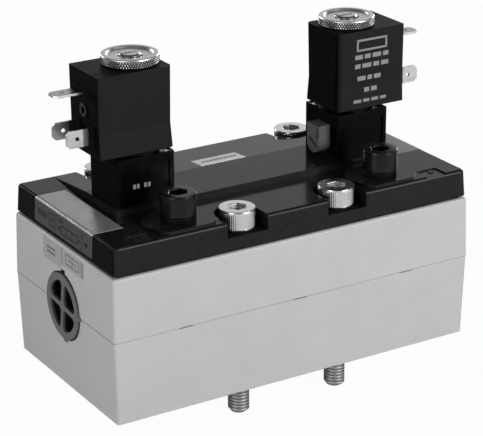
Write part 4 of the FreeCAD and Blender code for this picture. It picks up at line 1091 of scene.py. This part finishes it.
@dataclass
class LabelSet:
    """The bare labels: two folded over the cover's ends, one on its back slope, two on the left end."""

    shop: Workshop
    film: float = 0.08
    cover_rise: float = 10.2
    cover_edge: float = 1.1
    cover_lean: float = 0.55
    fold_steps: int = 6
    inner_reach: float = 61.7
    end_low: float = 57.2
    left_width: Pair = (-22.3, 22.6)
    right_width: Pair = (-22.6, 10.5)
    # The width and length of the painted shadow strips along the label's recess edge.
    line: float = 0.3
    recess_shadow_end: float = 11.2
    print_start: float = 13.0
    grey_margin: float = 0.35
    slope_crest: float = 11.0
    slope_foot: float = 1.65
    slope_span: Pair = (12.1, 20.3)
    slope_width: Pair = (-10.4, 8.7)
    parting_z: float = 31.5
    body_lean: float = 0.55
    plate_film: float = 0.04
    plate_sink: float = 0.01
    plate_top: float = 53.9
    plate_lows: Pair = (45.6, 47.3)

    def fold(self, sign: float, high: Vector, bottom: float) -> list[Point]:
        """Finds the path over one end of the cover, from its top down its end.

        Args:
            sign: The end, -1 for left and 1 for right.
            high: The highest corner of the cover without its plateau.
            bottom: The cover's underside.

        Returns:
            Points of the path.
        """
        lean = self.cover_lean / (high.z - bottom)
        turn = math.pi / 2 - math.atan(lean)
        x = high.x - self.cover_lean - self.cover_edge * math.tan(turn / 2)
        path = [(self.inner_reach, high.z)]
        for step in range(self.fold_steps + 1):
            angle = turn * step / self.fold_steps
            z = high.z - self.cover_edge + self.cover_edge * math.cos(angle)
            path.append((x + self.cover_edge * math.sin(angle), z))
        path.append((path[-1][0] + (z - self.end_low) * lean, self.end_low))
        return [(sign * x, 0.0, z) for x, z in path]

    def build(self) -> None:
        """Makes every label."""
        low, high = node_box("cover")
        top = Vector((high.x, high.y, low.z + self.cover_rise))
        left = self.fold(-1.0, top, low.z)
        end = sum((Vector(after) - Vector(before)).length for before, after in zip(left, left[1:]))
        start, last = self.print_start, end - 0.1 - self.print_start
        marks = [
            (0.2, last, 5.4, 5.75), (0.2, last, -14.6, -14.25), *hollow(1.3, 6.3, 7.0, 11.2, 0.4),
            (3.0, 4.6, 8.5, 9.6), *hollow(3.0, 6.4, -11.2, 1.4, 0.4), (3.0, 6.4, -7.2, -6.8),
            (3.0, 6.4, -3.0, -2.6), (4.0, 5.4, 2.2, 3.4), (4.0, 5.4, -13.0, -12.0), (1.0, 2.2, 0.2, 1.4),
            (1.0, 2.2, 2.0, 3.2), (3.6, 5.0, -18.8, -16.6),
            *((2.2, 4.6, 13.0 + 1.9 * index, 14.0 + 1.9 * index) for index in range(4)),
        ]
        marks = [(start + first, start + final, *width) for first, final, *width in marks]
        # Painted shadow: dark strips along the back edge and across the inner end, where the recess edge
        # shades the film.
        front, back = self.left_width
        marks += [(0.0, self.recess_shadow_end, back - self.line, back), (0.0, self.line, front, back)]
        grey = (start - self.grey_margin, end)
        fields = {"label_grey": [(*grey, *self.left_width)], "label_print": marks}
        Label(
            self.shop, "end_label_left", left, Across.TO_BACK, fields, "label_silver", self.left_width,
            self.film,
        ).build()
        Label(
            self.shop, "end_label_right", self.fold(1.0, top, low.z), Across.TO_FRONT,
            {"label_grey": [(*grey, *self.right_width)]}, "label_dull", self.right_width, self.film,
        ).build()
        slope = (high.z - top.z) / (high.y - self.slope_foot - self.slope_crest)
        path = [(0.0, y, high.z - slope * (y - self.slope_crest)) for y in self.slope_span]
        dashes = [(3.4, 5.0, -7.6 + 1.5 * index, -6.6 + 1.5 * index) for index in range(10)]
        Label(
            self.shop, "slope_label", path, Across.LENGTHWISE, {"label_ink": dashes}, "label_white",
            self.slope_width, self.film,
        ).build()
        self.end_plates()

    def end_plates(self) -> None:
        """Lays the two thin plates on the left end of the body, over the plug."""
        low, high = node_box("valve_body")
        lean, mid = self.body_lean / (high.z - self.parting_z), self.parting_z
        paths = [
            [(low.x + lean * (z - mid) - self.plate_sink, 0.0, z) for z in (self.plate_top, bottom)]
            for bottom in self.plate_lows
        ]
        levels = [(level, index) for level in (2.6, 4.4) for index in range(4)]
        dashes = [(level, level + 0.9, 5.6 + 1.7 * index, 6.7 + 1.7 * index) for level, index in levels]
        fields = {"label_white": [(0.2, 8.2, 15.0, 15.35)], "label_ink": dashes}
        outline = [
            *hollow(1.2, 5.2, -13.2, -2.6, 0.35), (1.2, 5.2, -8.1, -7.75), (3.0, 3.35, -11.4, -4.2),
            (0.1, 6.5, 0.05, 0.4), (0.5, 6.3, -15.1, -14.75), (0.5, 6.3, -16.3, -15.95),
        ]
        for name, path, marks, width in (
            ("end_plate_back", paths[0], fields, (0.4, 15.4)),
            ("end_plate_front", paths[1], {"label_ink": outline}, (-16.5, 0.4)),
        ):
            Label(self.shop, name, path, Across.TO_BACK, marks, "label_tint", width, self.plate_film).build()


@dataclass
class CoilPrint:
    """Generic bars and a bare frame on the right coil's front, and four dashes on the left pilot.

    A row of bars has its level, the place of its first bar, its height and the widths of its bars.
    """

    shop: Workshop
    bottom: float = 88.2
    waist: float = 96.7
    waist_depth: float = 0.25
    rows: tuple[tuple[float, float, float, tuple[float, ...]], ...] = (
        (106.7, 42.4, 1.7, (3.4, 2.6, 3.8, 2.4)),
        (103.2, 42.4, 1.7, (2.4, 4.0, 2.6, 3.2)),
        (98.4, 43.6, 1.7, (3.6, 2.0, 3.0)),
        (93.8, 46.6, 1.7, (2.2, 2.6)),
        (90.0, 41.8, 1.2, (3.4, 2.8, 3.0, 2.6)),
    )
    gap: float = 0.9
    frame_box: Patch = (109.7, 114.3, 43.0, 56.6)
    frame_line: float = 0.8
    dash_levels: Pair = (74.7, 77.0)
    dash_size: Pair = (1.1, 1.7)
    dash_places: Patch = (-51.6, -50.1, -47.2, -45.7)

    def build(self) -> None:
        """Prints the bars, the frame and the dashes."""
        low, high = node_box("coil_right")
        middle, rise = low.y + 2 * self.waist_depth, self.bottom - low.z
        foot = low.y + 2 * self.waist_depth / (self.waist - low.z) * rise
        path = [
            (0.0, foot, self.bottom), (0.0, middle, self.waist), (0.0, middle - self.waist_depth, high.z)
        ]
        start, end, left, right = self.frame_box
        marks = hollow(start - self.bottom, end - self.bottom, left, right, self.frame_line)
        for level, x, height, widths in self.rows:
            for width in widths:
                marks.append((level - self.bottom, level - self.bottom + height, x, x + width))
                x += width + self.gap
        Label(self.shop, "coil_print", path, Across.LENGTHWISE, {"coil_print": marks}).build()
        face, (length, height) = node_box("pilot_body_left")[0].y, self.dash_size
        dashes = {"coil_print": [(0.0, height, x, x + length) for x in self.dash_places]}
        path = [(0.0, face, level) for level in self.dash_levels]
        Label(self.shop, "pilot_print", path, Across.LENGTHWISE, dashes).build()


@dataclass(frozen=True)
class Lamp:
    """A square soft lamp that faces the valve; power in watts, places and sizes in metres."""

    name: str
    place: Point
    size: float
    power: float
    aim: Point = (0.0, 0.0, 0.05)

    def build(self) -> None:
        """Adds the lamp to the scene."""
        data = bpy.data.lights.new(self.name, "AREA")
        data.size, data.energy = self.size, self.power
        lamp = bpy.data.objects.new(self.name, data)
        lamp.location = self.place
        lamp.rotation_euler = (Vector(self.aim) - Vector(self.place)).to_track_quat("-Z", "Y").to_euler()
        bpy.context.scene.collection.objects.link(lamp)


@dataclass
class Studio:
    """A plain white floor, soft lamps and the camera of the photograph."""

    floor_z: float
    floor_reach: float = 6.0
    paper: str = "#E6E6E6"
    camera_place: Point = (-0.357691, -0.59138, 0.319262)
    right: Point = (0.854572, -0.519283, -0.007062)
    up: Point = (0.194387, 0.307225, 0.931573)
    view: Point = (0.481581, 0.797469, -0.363483)
    focal_px: float = 1987.93
    width_px: float = 483.0
    sensor_mm: float = 36.0
    dim: float = 0.05
    bright: float = 0.7
    bright_way: Point = (0.504, 0.807, 0.309)
    bright_span: Pair = (0.94, 0.995)
    floor_white: float = 0.97
    shown: float = 0.05
    lamps: tuple[Lamp, ...] = (
        Lamp("key_front", (0.36, -0.76, 0.3), 0.5, 5.5),
        Lamp("fill_left_low", (-0.6, -0.25, 0.1), 0.22, 1.1),
        Lamp("fill_left_high", (-0.75, -0.45, 0.38), 0.45, 1.4),
        Lamp("back_right", (0.9, 0.5, 0.25), 0.35, 4.2),
        Lamp("back_left", (-0.3, 1.1, 0.28), 0.35, 4.0),
    )

    def build(self) -> None:
        """Sets up the floor, the world, the lamps and the camera."""
        self.floor()
        self.world()
        for lamp in self.lamps:
            lamp.build()
        self.camera()
        bpy.context.scene.view_settings.view_transform = "Standard"
        log.info("studio with %d lamps", len(self.lamps))

    def floor(self) -> None:
        """Lays a white floor that the camera sees nearly evenly lit."""
        mesh, size = bpy.data.meshes.new("floor"), self.floor_reach
        corners = [(-size, -size), (size, -size), (size, size), (-size, size)]
        mesh.from_pydata([(x, y, self.floor_z) for x, y in corners], [], [(0, 1, 2, 3)])
        material = bpy.data.materials.new("white_paper_floor")
        material.use_nodes = True
        tree = material.node_tree
        tree.nodes.clear()
        paper = add_node(tree, "ShaderNodeBsdfDiffuse", {"Color": linear(self.paper)})
        glow = add_node(tree, "ShaderNodeEmission", {"Color": WHITE, "Strength": 1.0})
        share = self.white_share(tree, self.floor_white)
        mix = add_node(tree, "ShaderNodeMixShader", {0: share, 1: paper, 2: glow})
        add_node(tree, "ShaderNodeOutputMaterial", {"Surface": mix})
        add_object("floor", mesh, material)

    def white_share(self, tree: Tree, camera_share: float) -> Node:
        """Builds what tells how much of a plain white backdrop a ray sees.

        Args:
            tree: The tree of the floor or the world.
            camera_share: The share for camera rays; glossy and transmission rays get a little.

        Returns:
            A node that gives the share of the ray at hand.
        """
        rays = add_node(tree, "ShaderNodeLightPath").outputs
        share = 0.0
        for name, part in (("Camera", camera_share), ("Glossy", self.shown), ("Transmission", self.shown)):
            ray = rays[f"Is {name} Ray"]
            seen = add_node(tree, "ShaderNodeMath", {0: ray, 1: part}, operation="MULTIPLY")
            share = add_node(tree, "ShaderNodeMath", {0: share, 1: seen}, operation="MAXIMUM")
        return share

    def world(self) -> None:
        """Surrounds the scene with a dim studio that has one broad bright side behind the valve."""
        world = bpy.data.worlds.new("studio")
        bpy.context.scene.world = world
        world.use_nodes = True
        tree = world.node_tree
        way = add_node(tree, "ShaderNodeTexCoord").outputs["Generated"]
        aim = {0: way, 1: Vector(self.bright_way).normalized()}
        side = add_node(tree, "ShaderNodeVectorMath", aim, operation="DOT_PRODUCT").outputs["Value"]
        sides = zip(("From Min", "From Max", "To Min", "To Max"), (*self.bright_span, self.dim, self.bright))
        span = {"Value": side, **dict(sides)}
        strength = add_node(tree, "ShaderNodeMapRange", span, interpolation_type="SMOOTHSTEP")
        white = self.white_share(tree, 1.0)
        level = add_node(tree, "ShaderNodeMath", {0: strength, 1: white}, operation="MAXIMUM")
        background = tree.nodes["Background"].inputs
        tree.links.new(level.outputs[0], background["Strength"])
        background["Color"].default_value = WHITE

    def camera(self) -> None:
        """Puts the camera where the photograph was taken from."""
        data = bpy.data.cameras.new("camera")
        data.sensor_width = self.sensor_mm
        data.lens = self.focal_px * self.sensor_mm / self.width_px
        camera = bpy.data.objects.new("camera", data)
        turn = Matrix((self.right, self.up, -Vector(self.view))).transposed()
        camera.matrix_world = Matrix.Translation(self.camera_place) @ turn.to_4x4()
        bpy.context.scene.collection.objects.link(camera)
        bpy.context.scene.camera = camera


@dataclass
class Valve:
    """The whole valve: the pieces that stand for some CAD nodes, and the labels and prints."""

    shop: Workshop
    cap_radius: float = 6.5
    washer_drop: float = 10.0

    def screws(self) -> None:
        """Dresses the zinc-plated screws, the black cap screws and their washers."""
        mounts = {mount["name"]: mount for mount in frame["record"]["mounts"]}
        places = []
        for name in ("front_studs", "rear_studs"):
            half, y = mounts[name]["dims"]["pcd_mm"] / 2, mounts[name]["pos_m"][1] / MM
            places += [(-half, y), (half, y)]
        low, high = node_box("mounting_screws")
        SocketScrews(
            self.shop, "mounting_screws", "zinc_steel", places, head_radius=(high.x - low.x) / 2 - half,
            waist_radius=3.4, thread_top=0.6, foot_bevel=1.5, foot_height=1.3,
        ).build()
        low, high = node_box("cover_screws")
        x, y = high.x - self.cap_radius, (low.y + high.y) / 2
        SocketScrews(
            self.shop, "cover_screws", "black_steel", [(-x, y), (x, y)], self.cap_radius, waist_radius=4.0,
            thread_top=56.0, knurl_depth=0.03, knurl_count=80, foot_bevel=0.2, foot_height=0.4,
        ).build()
        SpringWashers(self.shop, [(-x, y), (x, y)], high.z - self.washer_drop).build()

    def build(self) -> None:
        """Makes the screws, the nuts, the springs, the labels and the prints."""
        self.screws()
        for side in ("left", "right"):
            CoilNut(self.shop, side).build()
            PlungerSpring(self.shop, side).build()
        LabelSet(self.shop).build()
        CoilPrint(self.shop).build()


def main() -> None:
    """Dresses the nodes, adds the pieces and sets up the studio."""
    shop = Workshop({"knurl": knurl_tree(), "thread": thread_tree(), "places": places_tree()})
    log.info("finishes on %d nodes", shop.dress_nodes())
    Valve(shop).build()
    Studio(floor_z=Vector(CAD_BOX[0]).z).build()


if __name__ == "__main__":
    logging.basicConfig(level=logging.INFO)
    main()
